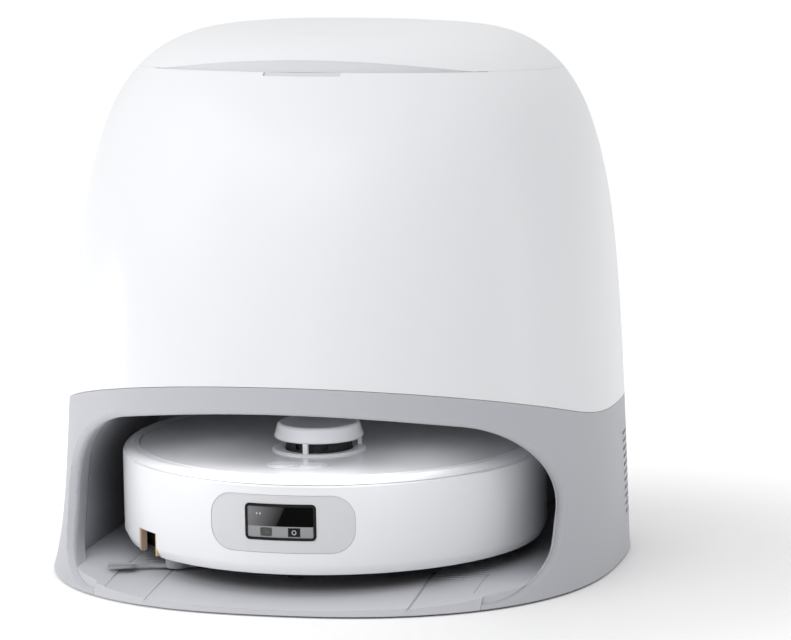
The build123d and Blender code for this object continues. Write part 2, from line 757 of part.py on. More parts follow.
def rim_profile(inner, top):
    """Turned wall of the robot with its chamfered lower edge."""
    round_top = 1.6
    with BuildSketch(Plane.XZ) as profile:
        with BuildLine():
            Polyline(
                (inner, RIM_Z),
                (ROBOT_RADIUS - RIM_CHAMFER / 2, RIM_Z),
                (ROBOT_RADIUS, RIM_Z + RIM_CHAMFER),
                (ROBOT_RADIUS, top - round_top),
            )
            RadiusArc((ROBOT_RADIUS, top - round_top), (ROBOT_RADIUS - round_top, top), -round_top)
            Polyline((ROBOT_RADIUS - round_top, top), (inner, top), (inner, RIM_Z))
        make_face()
    return revolve(profile.sketch, Axis.Z)


def pill(width, height, z, inset=0.0):
    """Rounded panel outline on the front, run along -Y."""
    shape = RectangleRounded(width - 2 * inset, height - 2 * inset, PANEL_CORNER - inset)
    outline = Plane.XZ * Pos(0, z) * shape
    return extrude(outline, amount=2 * ROBOT_RADIUS)


def window(inset=0.0):
    """Rounded window outline on the front, run along -Y."""
    corner = max(3.5 - inset, 1.0)
    shape = RectangleRounded(WINDOW_WIDTH - 2 * inset, WINDOW_HEIGHT - 2 * inset, corner)
    return extrude(Plane.XZ * Pos(0, WINDOW_Z) * shape, amount=2 * ROBOT_RADIUS)


def bumper():
    """Sprung front bumper with the pocket of its panel and the notch over the side brush."""
    inner = ROBOT_RADIUS - BUMPER_WALL
    skin = rim_profile(inner, BUMPER_TOP_Z) & front_of(BUMPER_BACK_Y)
    pocket = half_ring(ROBOT_RADIUS - PANEL_RECESS, ROBOT_RADIUS + 1, RIM_Z, BUMPER_TOP_Z)
    skin -= pocket & pill(PANEL_WIDTH, PANEL_HEIGHT, PANEL_Z)
    half = NOTCH_WIDTH / 2
    notch = slab((-half, half), (-2 * ROBOT_RADIUS, -ROBOT_RADIUS / 2), (0, RIM_Z + NOTCH_HEIGHT))
    return skin - Rot(0, 0, -NOTCH_ANGLE) * notch


def bumper_panel():
    """Rounded panel in the front of the bumper, open for the sensor window."""
    band = half_ring(ROBOT_RADIUS - PANEL_RECESS, ROBOT_RADIUS - 0.3, RIM_Z, BUMPER_TOP_Z)
    return (band & pill(PANEL_WIDTH, PANEL_HEIGHT, PANEL_Z, GAP)) - window(-GAP)


def sensor_frame():
    """Black frame around the sensor window."""
    band = half_ring(ROBOT_RADIUS - PANEL_RECESS, ROBOT_RADIUS + 0.3, RIM_Z, BUMPER_TOP_Z)
    return (band & window()) - window(WINDOW_BORDER)


def window_split():
    """Height of the line between the glass and the strip under it."""
    return WINDOW_Z - WINDOW_HEIGHT / 2 + WINDOW_BORDER + STRIP_HEIGHT


def sensor_glass():
    """Dark glass in the upper part of the sensor window."""
    band = half_ring(ROBOT_RADIUS - PANEL_RECESS, ROBOT_RADIUS - 0.2, window_split(), BUMPER_TOP_Z)
    return band & window(WINDOW_BORDER)


def eye_block(side):
    """Square opening of one eye in the strip."""
    z = window_split() - STRIP_HEIGHT / 2
    x = side * EYE_X
    reach_x = (x - EYE_WIDTH / 2, x + EYE_WIDTH / 2)
    return slab(reach_x, (-2 * ROBOT_RADIUS, 0), (z - EYE_HEIGHT / 2, z + EYE_HEIGHT / 2))


def sensor_strip():
    """Grey strip under the glass with the light window and the camera opening."""
    band = half_ring(ROBOT_RADIUS - PANEL_RECESS, ROBOT_RADIUS - 0.2, RIM_Z, window_split())
    strip = (band & window(WINDOW_BORDER)) - eye_block(1)
    pit = half_ring(ROBOT_RADIUS - 0.6, ROBOT_RADIUS + 1, RIM_Z, BUMPER_TOP_Z) & eye_block(-1)
    return strip - pit


def camera_lens():
    """Square camera window with a round lens."""
    band = half_ring(ROBOT_RADIUS - PANEL_RECESS, ROBOT_RADIUS - 0.5, RIM_Z, BUMPER_TOP_Z)
    eye = band & eye_block(1)
    z = window_split() - STRIP_HEIGHT / 2
    y = -sqrt((ROBOT_RADIUS - 0.5) ** 2 - EYE_X ** 2)
    return eye + Pos(EYE_X, y, z) * Rot(90, 0, 0) * Cylinder(LENS_RADIUS, 1.0)


def rear_shell():
    """Fixed wall around the back of the robot with a flange to the frame."""
    start = BUMPER_BACK_Y + BUMPER_TRAVEL + 1
    inner = ROBOT_RADIUS - BUMPER_WALL
    wall = rim_profile(inner, BUMPER_TOP_Z)
    wall += half_ring(FRAME_RADIUS + GAP, inner + 1, BUMPER_TOP_Z - 6, BUMPER_TOP_Z - 3)
    wall -= front_of(start)
    for side in (-1, 1):
        wall -= Pos(0, -ROBOT_Y, -FLOOR) * contact_hole(side, GAP)
    return wall - Pos(0, -ROBOT_Y, -FLOOR) * port_block(-PORT_LIP, front=0, back=FAR)


def charging_plates():
    """Two nickel plates in the back of the robot."""
    plates = []
    band = half_ring(ROBOT_RADIUS - 3, ROBOT_RADIUS, RIM_Z, BUMPER_TOP_Z) - front_of(0)
    for side in (-1, 1):
        plates.append(band & (Pos(0, -ROBOT_Y, -FLOOR) * contact_hole(side, 0)))
    return Compound(children=plates)


def robot_chassis():
    """Chassis pan: floor, raised mop bay, frame wall, wheel wells, caster cup and bearing posts."""
    top = CHASSIS_Z + CHASSIS_THICKNESS
    bay_top = MOP_BAY_Z + CHASSIS_THICKNESS
    pan = drum(CHASSIS_RADIUS, CHASSIS_Z, top) & front_of(MOP_BAY_Y)
    pan += drum(CHASSIS_RADIUS, MOP_BAY_Z, bay_top) - front_of(MOP_BAY_Y)
    step = slab((-FAR, FAR), (MOP_BAY_Y, MOP_BAY_Y + CHASSIS_THICKNESS), (CHASSIS_Z, bay_top))
    pan += step & drum(CHASSIS_RADIUS, 0, FAR)
    frame = half_ring(FRAME_RADIUS - FRAME_WALL, FRAME_RADIUS, top, BUMPER_TOP_Z)
    pan += frame & front_of(MOP_BAY_Y + 1)
    pan += half_ring(FRAME_RADIUS - FRAME_WALL, FRAME_RADIUS, bay_top, BUMPER_TOP_Z) - front_of(MOP_BAY_Y)
    cup = CASTER_POCKET_RADIUS + 2.5
    cup_top = 2 * CASTER_WHEEL_RADIUS + 9
    boss_top = cup_top + 10
    pan += drum(cup, CHASSIS_Z, cup_top, 0, CASTER_Y)
    pan += drum(2 * CASTER_STEM_RADIUS, cup_top, boss_top, 0, CASTER_Y)
    pan -= drum(CASTER_POCKET_RADIUS, 0, cup_top - 3, 0, CASTER_Y)
    pan -= drum(CASTER_STEM_RADIUS + RUNNING_FIT, 0, boss_top + 1, 0, CASTER_Y)
    well = slab(
        (WHEEL_X - WHEEL_WIDTH / 2 - 2, WHEEL_X + WHEEL_WIDTH / 2 + 3),
        (WHEEL_Y - WHEEL_RADIUS - 2, MOP_BAY_Y),
        (0, top + 1),
    )
    post_x = (ARM_X + ARM_WIDTH + GAP, ARM_X + ARM_WIDTH + GAP + POST_THICKNESS)
    post_y = (ARM_PIVOT_Y - 8, ARM_PIVOT_Y + 8)
    post = slab(post_x, post_y, (top, ARM_PIVOT_Z + 10))
    post -= rod(AXLE_RADIUS + RUNNING_FIT, 0, FAR, ARM_PIVOT_Y, ARM_PIVOT_Z)
    for side in (post, mirrored(post)):
        pan += side
    for hole in (well, mirrored(well)):
        pan -= hole
    bay = TUNNEL_RADIUS - 1.5
    bay_x = TUNNEL_HALF_LENGTH - 4
    pan -= slab((-bay_x, bay_x), (BRUSH_Y - bay, BRUSH_Y + bay), (0, top + 1))
    pan += drum(9, top, top + 12, SIDE_BRUSH_X, SIDE_BRUSH_Y)
    pan -= drum(3 + RUNNING_FIT, 0, top + 10, SIDE_BRUSH_X, SIDE_BRUSH_Y)
    for x in (-MOP_X, MOP_X):
        pan -= drum(MOP_SHAFT_RADIUS + 2, MOP_BAY_Z - 1, bay_top + 1, x, MOP_Y)
    return pan


def deck_ring():
    """Rounded shoulder between the wall and the top cover."""
    inner = COVER_RADIUS + GROOVE
    low = BUMPER_TOP_Z + PART_LINE
    with BuildSketch(Plane.XZ) as profile:
        with BuildLine():
            Line((inner, low), (ROBOT_RADIUS - 0.6, low))
            brow = (ROBOT_RADIUS - 3.6, low + 3.4)
            ThreePointArc((ROBOT_RADIUS - 0.6, low), brow, (inner + 4, COVER_TOP_Z))
            Polyline((inner + 4, COVER_TOP_Z), (inner, COVER_TOP_Z), (inner, low))
        make_face()
    return revolve(profile.sketch, Axis.Z)


def top_cover():
    """Lift-off top cover with the turret hole and the button pocket."""
    low = COVER_TOP_Z - COVER_THICKNESS
    cover = drum(COVER_RADIUS, low, COVER_TOP_Z)
    cover = chamfer(cover.edges().sort_by(Axis.Z)[-1], GROOVE)
    cover -= drum(TURRET_FOOT_RADIUS + GAP, 0, FAR, 0, TURRET_Y)
    return cover - button_slot(BUTTON_PLATE_WIDTH + 2 * GAP, BUTTON_PLATE_DEPTH + 2 * GAP, 0, 0, FAR)


def button_slot(width, depth, x, z_low, z_high):
    """Upright prism with an oval outline at the button place."""
    outline = Plane.XY.offset(z_low) * Pos(x, BUTTON_Y) * SlotOverall(width, depth)
    return extrude(outline, amount=z_high - z_low)


BUTTON_TOP_Z = COVER_TOP_Z + BUTTON_PROUD


def button_plate():
    """Oval plate that holds the two buttons."""
    low = COVER_TOP_Z - COVER_THICKNESS
    plate = button_slot(BUTTON_PLATE_WIDTH, BUTTON_PLATE_DEPTH, 0, low, BUTTON_TOP_Z)
    for side in (-1, 1):
        x = side * BUTTON_X
        plate -= button_slot(BUTTON_WIDTH + 2 * GAP, BUTTON_DEPTH + 2 * GAP, x, low + 1, FAR)
    return plate


def push_button(side):
    """One oval push button over its switch."""
    low = COVER_TOP_Z - COVER_THICKNESS + 1 + BUTTON_TRAVEL + GAP / 2
    return button_slot(BUTTON_WIDTH, BUTTON_DEPTH, side * BUTTON_X, low, BUTTON_TOP_Z + 0.3)


# Turret
def turret_base():
    """Flared ring under the laser window."""
    low = COVER_TOP_Z - COVER_THICKNESS
    bore = HEAD_RADIUS + 1.2
    with BuildSketch(Plane.XZ) as profile:
        with BuildLine():
            Polyline((bore, low), (TURRET_FOOT_RADIUS, low), (TURRET_FOOT_RADIUS, COVER_TOP_Z + 0.4))
            Line((TURRET_FOOT_RADIUS, COVER_TOP_Z + 0.4), (TURRET_RADIUS, TURRET_SILL_Z))
            Polyline((TURRET_RADIUS, TURRET_SILL_Z), (bore, TURRET_SILL_Z - 0.6), (bore, low))
        make_face()
    return Pos(0, TURRET_Y, 0) * revolve(profile.sketch, Axis.Z)


def turret_cap():
    """Cap over the laser window on its upright posts."""
    shoulder = TURRET_RADIUS - TURRET_TAPER
    brink = TURRET_TOP_Z - TURRET_ROUND
    corner = TURRET_ROUND * (1 - sqrt(0.5))
    with BuildSketch(Plane.XZ) as profile:
        with BuildLine():
            Polyline((0, TURRET_TOP_Z), (0, TURRET_CAP_Z), (TURRET_RADIUS - 1.2, TURRET_CAP_Z))
            Line((TURRET_RADIUS - 1.2, TURRET_CAP_Z), (TURRET_RADIUS, TURRET_CAP_Z + 1.4))
            Line((TURRET_RADIUS, TURRET_CAP_Z + 1.4), (shoulder, brink))
            rounding = (shoulder - corner, TURRET_TOP_Z - corner)
            ThreePointArc((shoulder, brink), rounding, (shoulder - TURRET_ROUND, TURRET_TOP_Z))
            Line((shoulder - TURRET_ROUND, TURRET_TOP_Z), (0, TURRET_TOP_Z))
        make_face()
    cap = revolve(profile.sketch, Axis.Z)
    cap -= drum(TURRET_DISC_RADIUS + GAP, TURRET_TOP_Z - TURRET_DISC_DEPTH, FAR)
    ring = half_ring(TURRET_RADIUS - 4.6, TURRET_RADIUS - 1.2, TURRET_SILL_Z, TURRET_CAP_Z)
    for step in range(TURRET_POSTS):
        spoke = slab((-POST_WIDTH / 2, POST_WIDTH / 2), (-TURRET_RADIUS, -HEAD_RADIUS), (0, FAR))
        cap += ring & (Rot(0, 0, 360 * step / TURRET_POSTS - 4) * spoke)
    return Pos(0, TURRET_Y, 0) * cap


def turret_disc():
    """Grey disc set into the top of the turret cap."""
    return drum(TURRET_DISC_RADIUS, TURRET_TOP_Z - TURRET_DISC_DEPTH, TURRET_TOP_Z - 0.2, 0, TURRET_Y)


def laser_head():
    """Spinning laser head with its two lens ports."""
    low = COVER_TOP_Z - COVER_THICKNESS
    head = drum(HEAD_RADIUS, low, TURRET_CAP_Z - GAP, 0, TURRET_Y)
    for turn in (-24, 24):
        port = Pos(0, -HEAD_RADIUS, TURRET_SILL_Z + 4) * Rot(90, 0, 0) * Cylinder(3, 6)
        head -= Pos(0, TURRET_Y, 0) * Rot(0, 0, turn) * port
    return head


# Drive wheels, right-hand side
def wheel_tyre():
    """Rubber tyre with cross treads."""
    x = (WHEEL_X - WHEEL_WIDTH / 2, WHEEL_X + WHEEL_WIDTH / 2)
    tyre = rod(WHEEL_RADIUS, *x, 0, 0) - rod(HUB_RADIUS + RUNNING_FIT, x[0] - 1, x[1] + 1, 0, 0)
    groove = slab((x[0] - 1, x[1] + 1), (-1.6, 1.6), (WHEEL_RADIUS - TREAD_DEPTH, WHEEL_RADIUS + 1))
    for step in range(TREAD_COUNT):
        tyre -= Rot(360 * step / TREAD_COUNT, 0, 0) * groove
    return Pos(0, WHEEL_Y, WHEEL_RADIUS) * tyre


def wheel_hub():
    """Hub with its dished face and the axle into the arm."""
    x = (WHEEL_X - WHEEL_WIDTH / 2 + 1, WHEEL_X + WHEEL_WIDTH / 2 - 1)
    hub = rod(HUB_RADIUS, *x, 0, 0)
    dish = rod(HUB_RADIUS - 4, x[1] - 5, x[1] + 1, 0, 0) - rod(9, x[1] - 5, x[1] + 1, 0, 0)
    hub -= dish
    for step in range(5):
        spoke = slab((x[1] - 5, x[1] - 1), (-2.5, 2.5), (0, HUB_RADIUS - 3))
        hub += Rot(72 * step, 0, 0) * spoke
    hub += rod(AXLE_RADIUS, ARM_X + 1, x[0], 0, 0)
    return Pos(0, WHEEL_Y, WHEEL_RADIUS) * hub


def wheel_arm():
    """Geared swing arm between the pivot post and the axle."""
    x = (ARM_X, ARM_X + ARM_WIDTH)
    run = (WHEEL_Y - ARM_PIVOT_Y, WHEEL_RADIUS - ARM_PIVOT_Z)
    length = sqrt(run[0] ** 2 + run[1] ** 2)
    tilt = degrees(asin(run[1] / length))
    arm = rod(ARM_HALF_HEIGHT, *x, WHEEL_Y, WHEEL_RADIUS) + rod(ARM_HALF_HEIGHT, *x, ARM_PIVOT_Y, ARM_PIVOT_Z)
    bar = Box(ARM_WIDTH, length, 2 * ARM_HALF_HEIGHT)
    middle = ((x[0] + x[1]) / 2, (WHEEL_Y + ARM_PIVOT_Y) / 2, (WHEEL_RADIUS + ARM_PIVOT_Z) / 2)
    arm += Pos(*middle) * Rot(tilt, 0, 0) * bar
    arm -= rod(AXLE_RADIUS + RUNNING_FIT, x[0] - 1, x[1] + 1, WHEEL_Y, WHEEL_RADIUS)
    return arm + rod(AXLE_RADIUS, x[1], x[1] + GAP + POST_THICKNESS - 1, ARM_PIVOT_Y, ARM_PIVOT_Z)


# Caster
def caster_fork():
    """Swivelling fork with its stem and axle."""
    plate_low = 2 * CASTER_WHEEL_RADIUS + 1.5
    gap = CASTER_WHEEL_WIDTH / 2 + 0.8
    fork = drum(CASTER_POCKET_RADIUS - 3, plate_low, plate_low + 3, 0, CASTER_Y)
    fork += drum(CASTER_STEM_RADIUS, plate_low, 2 * CASTER_WHEEL_RADIUS + 18, 0, CASTER_Y)
    axle_y = CASTER_Y + CASTER_TRAIL
    for side in (-1, 1):
        reach = (side * gap, side * (gap + FORK_CHEEK))
        cheek = slab(reach, (axle_y - 6, axle_y + 6), (CASTER_WHEEL_RADIUS - 4, plate_low + 1))
        fork += cheek
    return fork + rod(CASTER_AXLE_RADIUS, -gap - 1, gap + 1, axle_y, CASTER_WHEEL_RADIUS)


def caster_wheel():
    """Barrel-shaped caster wheel."""
    half = CASTER_WHEEL_WIDTH / 2
    axle_y = CASTER_Y + CASTER_TRAIL
    wheel = rod(CASTER_WHEEL_RADIUS, -half, half, axle_y, CASTER_WHEEL_RADIUS)
    wheel = fillet(wheel.edges().filter_by(GeomType.CIRCLE), 3.0)
    return wheel - rod(CASTER_AXLE_RADIUS + RUNNING_FIT, -half - 1, half + 1, axle_y, CASTER_WHEEL_RADIUS)


# Brushes
def blade_half():
    """One half of the main brush, its rubber blades twisted along the core."""
    star = Circle(BRUSH_CORE_RADIUS)
    reach = BRUSH_RADIUS - BRUSH_CORE_RADIUS / 2
    for step in range(BRUSH_BLADES):
        blade = Pos(BRUSH_CORE_RADIUS / 2 + reach / 2, 0) * Rectangle(reach, BLADE_WIDTH)
        star += Rot(0, 0, 360 * step / BRUSH_BLADES) * blade
    face = star.faces()[0]
    return Solid.extrude_linear_with_rotation(face, (0, 0, 0), (0, 0, BRUSH_HALF_LENGTH), BLADE_TWIST)


def main_brush():
    """Rubber main brush with chevron blades and its bearing stubs."""
    half = Rot(0, 90, 0) * blade_half()
    brush = half + mirrored(half)
    brush += rod(AXLE_RADIUS, -TUNNEL_HALF_LENGTH + 1, TUNNEL_HALF_LENGTH - 1, 0, 0)
    return Pos(0, BRUSH_Y, BRUSH_Z) * brush


def brush_tunnel():
    """Half pipe over the main brush with its bearing ends."""
    floor = CHASSIS_Z + CHASSIS_THICKNESS
    length = TUNNEL_HALF_LENGTH
    tunnel = rod(TUNNEL_RADIUS + TUNNEL_WALL, -length, length, BRUSH_Y, BRUSH_Z)
    tunnel -= rod(TUNNEL_RADIUS, -length + 5, length - 5, BRUSH_Y, BRUSH_Z)
    tunnel -= rod(AXLE_RADIUS + RUNNING_FIT, -length - 1, length + 1, BRUSH_Y, BRUSH_Z)
    return tunnel - slab((-FAR, FAR), (-FAR, FAR), (-FAR, floor))


def side_brush():
    """Two-armed side brush on its shaft."""
    top = CHASSIS_Z - 1
    hub = drum(SIDE_BRUSH_HUB_RADIUS, SIDE_BRUSH_Z, top)
    hub += drum(3, SIDE_BRUSH_Z, CHASSIS_Z + CHASSIS_THICKNESS + 8)
    for step in range(SIDE_BRUSH_ARMS):
        with BuildSketch(Plane.XY.offset(SIDE_BRUSH_Z)) as arm:
            with BuildLine():
                Polyline(
                    (SIDE_BRUSH_HUB_RADIUS / 2, -4.5),
                    (SIDE_BRUSH_REACH * 0.4, -2.2),
                    (SIDE_BRUSH_REACH, -4.0),
                    (SIDE_BRUSH_REACH, 4.0),
                    (SIDE_BRUSH_REACH * 0.4, 2.2),
                    (SIDE_BRUSH_HUB_RADIUS / 2, 4.5),
                    close=True,
                )
            make_face()
        turn = SIDE_BRUSH_START + 360 * step / SIDE_BRUSH_ARMS
        hub += Rot(0, 0, turn) * extrude(arm.sketch, amount=2.5)
    return Pos(SIDE_BRUSH_X, SIDE_BRUSH_Y, 0) * hub


# Mops
MOP_PAD_Z = 1.3
MOP_PLATE_Z = MOP_PAD_Z + MOP_PAD_THICKNESS


def mop_pad(side):
    """Soft mop pad under its plate."""
    return drum(MOP_PAD_RADIUS, MOP_PAD_Z, MOP_PLATE_Z, side * MOP_X, MOP_Y)


def mop_plate(side):
    """Spinning mop plate with its socket."""
    place = (side * MOP_X, MOP_Y)
    plate = drum(MOP_PLATE_RADIUS, MOP_PLATE_Z, MOP_PLATE_Z + MOP_PLATE_THICKNESS, *place)
    plate += drum(MOP_HUB_RADIUS, MOP_PLATE_Z, MOP_HUB_TOP_Z, *place)
    return plate - drum(MOP_SHAFT_RADIUS + RUNNING_FIT, MOP_PLATE_Z + 2, FAR, *place)


def mop_carrier():
    """Lifting gearbox over the mop bay with the two mop shafts."""
    low = MOP_BAY_Z + CHASSIS_THICKNESS + GAP
    half = 34.0
    box = slab((-MOP_X - 25, MOP_X + 25), (MOP_Y - half, MOP_Y + half), (low, low + CARRIER_THICKNESS))
    box = fillet(box.edges().filter_by(Axis.Z), half / 2)
    for side in (-1, 1):
        box += drum(MOP_SHAFT_RADIUS, MOP_PLATE_Z + 3, low + 1, side * MOP_X, MOP_Y)
    return box


# Inside the robot
INNER_FLOOR = CHASSIS_Z + CHASSIS_THICKNESS
BIN_LOW_Z = MOP_BAY_Z + CHASSIS_THICKNESS + CARRIER_THICKNESS + MOP_LIFT + 4


def battery_pack():
    """Lithium battery pack between the brush tunnel and the mop bay."""
    back = MOP_BAY_Y - 2
    reach = (-BATTERY_HALF_WIDTH, BATTERY_HALF_WIDTH)
    pack = slab(reach, (back - BATTERY_DEPTH, back), (INNER_FLOOR, INNER_FLOOR + BATTERY_HEIGHT))
    return fillet(pack.edges().filter_by(Axis.X), 6)


def dust_bin():
    """Dust bin under the top cover, with its filter frame at the back, on legs over the mop gearbox."""
    reach = (-BIN_HALF_WIDTH, BIN_HALF_WIDTH)
    top = COVER_TOP_Z - COVER_THICKNESS - GAP
    dust = slab(reach, (BIN_FRONT_Y, BIN_FRONT_Y + BIN_DEPTH), (BIN_LOW_Z, top))
    dust = fillet(dust.edges().filter_by(Axis.Z), 12)
    leg = slab((BIN_HALF_WIDTH - 16, BIN_HALF_WIDTH - 4), (BIN_FRONT_Y, BIN_FRONT_Y + 12), (0, BIN_LOW_Z + 1))
    leg &= slab((-FAR, FAR), (-FAR, FAR), (MOP_BAY_Z + CHASSIS_THICKNESS, FAR))
    return dust + leg + mirrored(leg)


dock = {
    "base_tray": base_tray(),
    "base_feet": base_feet(),
    "wash_board": wash_board(),
    "lower_housing": lower_housing(),
    "right_vent": vent_panel(),
    "left_vent": mirrored(vent_panel()),
    "power_inlet": power_inlet(),
    "garage_liner": garage_liner(),
    "left_contact": charging_contact(-1),
    "right_contact": charging_contact(1),
    "dust_port_seal": dust_port_seal(),
    "dust_duct": dust_duct(),
    "upper_housing": upper_housing(),
    "rear_panel": rear_panel(),
    "top_lid": top_lid(),
    "lid_hinge_pins": lid_hinge_pins(),
    "lid_grip_insert": lid_grip_insert(),
    "tank_deck": tank_deck(),
    "dirty_water_tank": water_tank(),
    "clean_water_tank": mirrored(water_tank()),
    "dirty_tank_cap": tank_cap(),
    "clean_tank_cap": mirrored(tank_cap()),
    "dust_bag": dust_bag(),
    "suction_motor": suction_motor(),
}

robot = {
    "robot_chassis": robot_chassis(),
    "rear_shell": rear_shell(),
    "charging_plates": charging_plates(),
    "deck_ring": deck_ring(),
    "top_cover": top_cover(),
    "button_plate": button_plate(),
    "power_button": push_button(-1),
    "home_button": push_button(1),
    "turret_base": turret_base(),
    "turret_cap": turret_cap(),
    "turret_disc": turret_disc(),
    "laser_head": laser_head(),
    "bumper": bumper(),
    "bumper_panel": bumper_panel(),
    "sensor_frame": sensor_frame(),
    "sensor_glass": sensor_glass(),
    "sensor_strip": sensor_strip(),
    "camera_lens": camera_lens(),
    "right_wheel_arm": wheel_arm(),
    "left_wheel_arm": mirrored(wheel_arm()),
    "right_wheel_hub": wheel_hub(),
    "left_wheel_hub": mirrored(wheel_hub()),
    "right_tyre": wheel_tyre(),
    "left_tyre": mirrored(wheel_tyre()),
    "caster_fork": caster_fork(),
    "caster_wheel": caster_wheel(),
    "main_brush": main_brush(),
    "brush_tunnel": brush_tunnel(),
    "side_brush": side_brush(),
    "mop_carrier": mop_carrier(),
    "left_mop_plate": mop_plate(-1),
    "right_mop_plate": mop_plate(1),
    "left_mop_pad": mop_pad(-1),
    "right_mop_pad": mop_pad(1),
    "battery_pack": battery_pack(),
    "dust_bin": dust_bin(),
}

os.makedirs("parts", exist_ok=True)
for name, shape in dock.items():
    export_step(shape, f"parts/{name}.step")
for name, shape in robot.items():
    export_step(PARK * shape, f"parts/{name}.step")
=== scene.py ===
import logging
import math
from dataclasses import dataclass, field
from enum import Enum
from functools import cache
from itertools import product
from typing import Callable, Optional, Sequence

import bmesh
import bpy
from bpy.types import Material, Mesh, Node, NodeSocket, NodeTree, Object
from mathutils import Matrix, Vector


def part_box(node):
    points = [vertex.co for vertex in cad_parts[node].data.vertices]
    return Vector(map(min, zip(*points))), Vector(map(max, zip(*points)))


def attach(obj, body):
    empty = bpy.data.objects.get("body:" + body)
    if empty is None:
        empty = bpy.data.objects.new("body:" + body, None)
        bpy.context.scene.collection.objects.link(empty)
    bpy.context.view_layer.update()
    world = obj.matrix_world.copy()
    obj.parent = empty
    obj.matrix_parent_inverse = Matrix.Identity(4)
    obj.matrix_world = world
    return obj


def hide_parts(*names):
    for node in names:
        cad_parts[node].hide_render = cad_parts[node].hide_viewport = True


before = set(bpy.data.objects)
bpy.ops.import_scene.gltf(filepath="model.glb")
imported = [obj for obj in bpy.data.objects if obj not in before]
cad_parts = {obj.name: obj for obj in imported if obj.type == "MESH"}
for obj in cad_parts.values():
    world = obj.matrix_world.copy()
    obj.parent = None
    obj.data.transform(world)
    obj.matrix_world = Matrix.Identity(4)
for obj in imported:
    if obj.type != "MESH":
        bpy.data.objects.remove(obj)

# What a node's input takes: a plain value, or the output that feeds it
Value = float | str | tuple[float, ...] | NodeSocket

LOG = logging.getLogger("robot_vacuum")
MM = 0.001
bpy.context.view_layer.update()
# Fixed places and directions, and the two sides by their sign across
ORIGIN = Vector((0, 0, 0))
DOWN = Vector((0, 0, -1))
SIDES = ((1, "right"), (-1, "left"))
# Length over which a moulding's tone drifts, in metres, and roughness of a clear coat
DRIFT_M = 0.12
COAT_ROUGHNESS = 0.06
# Cosine above which a face belongs to a smooth curve, and share of the height where the crown is flat
SAME_FACE = 0.985
BELOW_CROWN = 0.9985


class Texture(Enum):
    """How the tool was finished: spread of the roughness, and depth of the grain in millimetres."""

    POLISHED = (0.01, 0.0)
    SATIN = (0.05, 0.02)
    SPARKED = (0.09, 0.05)


POLISHED, SATIN, SPARKED = Texture


def clamp(value: float, low: float = 0.0, high: float = 1.0) -> float:
    """Keeps a value between two limits."""
    return min(max(value, low), high)


def srgb(code: str) -> tuple[float, float, float, float]:
    """Turns an sRGB hex colour to linear.

    Args:
        code: Colour such as "#F4F5FA".

    Returns:
        Linear red, green, blue and alpha.
    """
    parts = [int(code[i:i + 2], 16) / 255 for i in (1, 3, 5)]
    linear = [c / 12.92 if c <= 0.04045 else ((c + 0.055) / 1.055) ** 2.4 for c in parts]
    return (*linear, 1.0)


def add_node(
    tree: NodeTree, kind: str, links: Optional[dict[str | int, Value]] = None, **settings: str
) -> Node:
    """Adds a node with its settings, input values and links.

    Args:
        tree: Tree that takes the node.
        kind: Node type identifier.
        links: Input name or index to a value, or to the output socket that feeds it.
        **settings: Attributes of the node.

    Returns:
        The new node.
    """
    node = tree.nodes.new(kind)
    for name, value in settings.items():
        setattr(node, name, value)
    for name, value in (links or {}).items():
        if isinstance(value, NodeSocket):
            tree.links.new(value, node.inputs[name])
        else:
            node.inputs[name].default_value = value
    return node


def ramp(
    tree: NodeTree, value: NodeSocket, start: float, end: float,
    low: float = 0.0, high: float = 1.0, soft: bool = False,
) -> NodeSocket:
    """Maps values from start to end to results from low to high.

    Args:
        tree: Tree that takes the node.
        value: Output that is mapped.
        start, end: Range of the values.
        low, high: Range of the results.
        soft: Whether the change eases in and out.

    Returns:
        The result.
    """
    limits = {"Value": value, "From Min": start, "From Max": end, "To Min": low, "To Max": high}
    kind = "SMOOTHSTEP" if soft else "LINEAR"
    return add_node(tree, "ShaderNodeMapRange", limits, interpolation_type=kind).outputs["Result"]


def blend(
    tree: NodeTree, share: NodeSocket, first: Value, second: Value, colours: bool = True
) -> NodeSocket:
    """Mixes two colours or two values.

    Args:
        tree: Tree that takes the node.
        share: Output that gives the second one's share.
        first, second: Values or outputs that are mixed.
        colours: Whether they are colours.

    Returns:
        The mix.
    """
    kind, spot, out = ("RGBA", 6, 2) if colours else ("FLOAT", 2, 0)
    return add_node(
        tree, "ShaderNodeMix", {0: share, spot: first, spot + 1: second}, data_type=kind
    ).outputs[out]


def new_material(
    name: str, values: dict[str, float]
) -> tuple[Material, NodeTree, Node]:
    """Starts a material.

    Args:
        name: Its name.
        values: Uniform values by the name of the shader's socket.

    Returns:
        The material, its tree and its shader.
    """
    material = bpy.data.materials.new(name)
    material.use_nodes = True
    shader = material.node_tree.nodes["Principled BSDF"]
    for label, value in values.items():
        shader.inputs[label].default_value = value
    return material, material.node_tree, shader


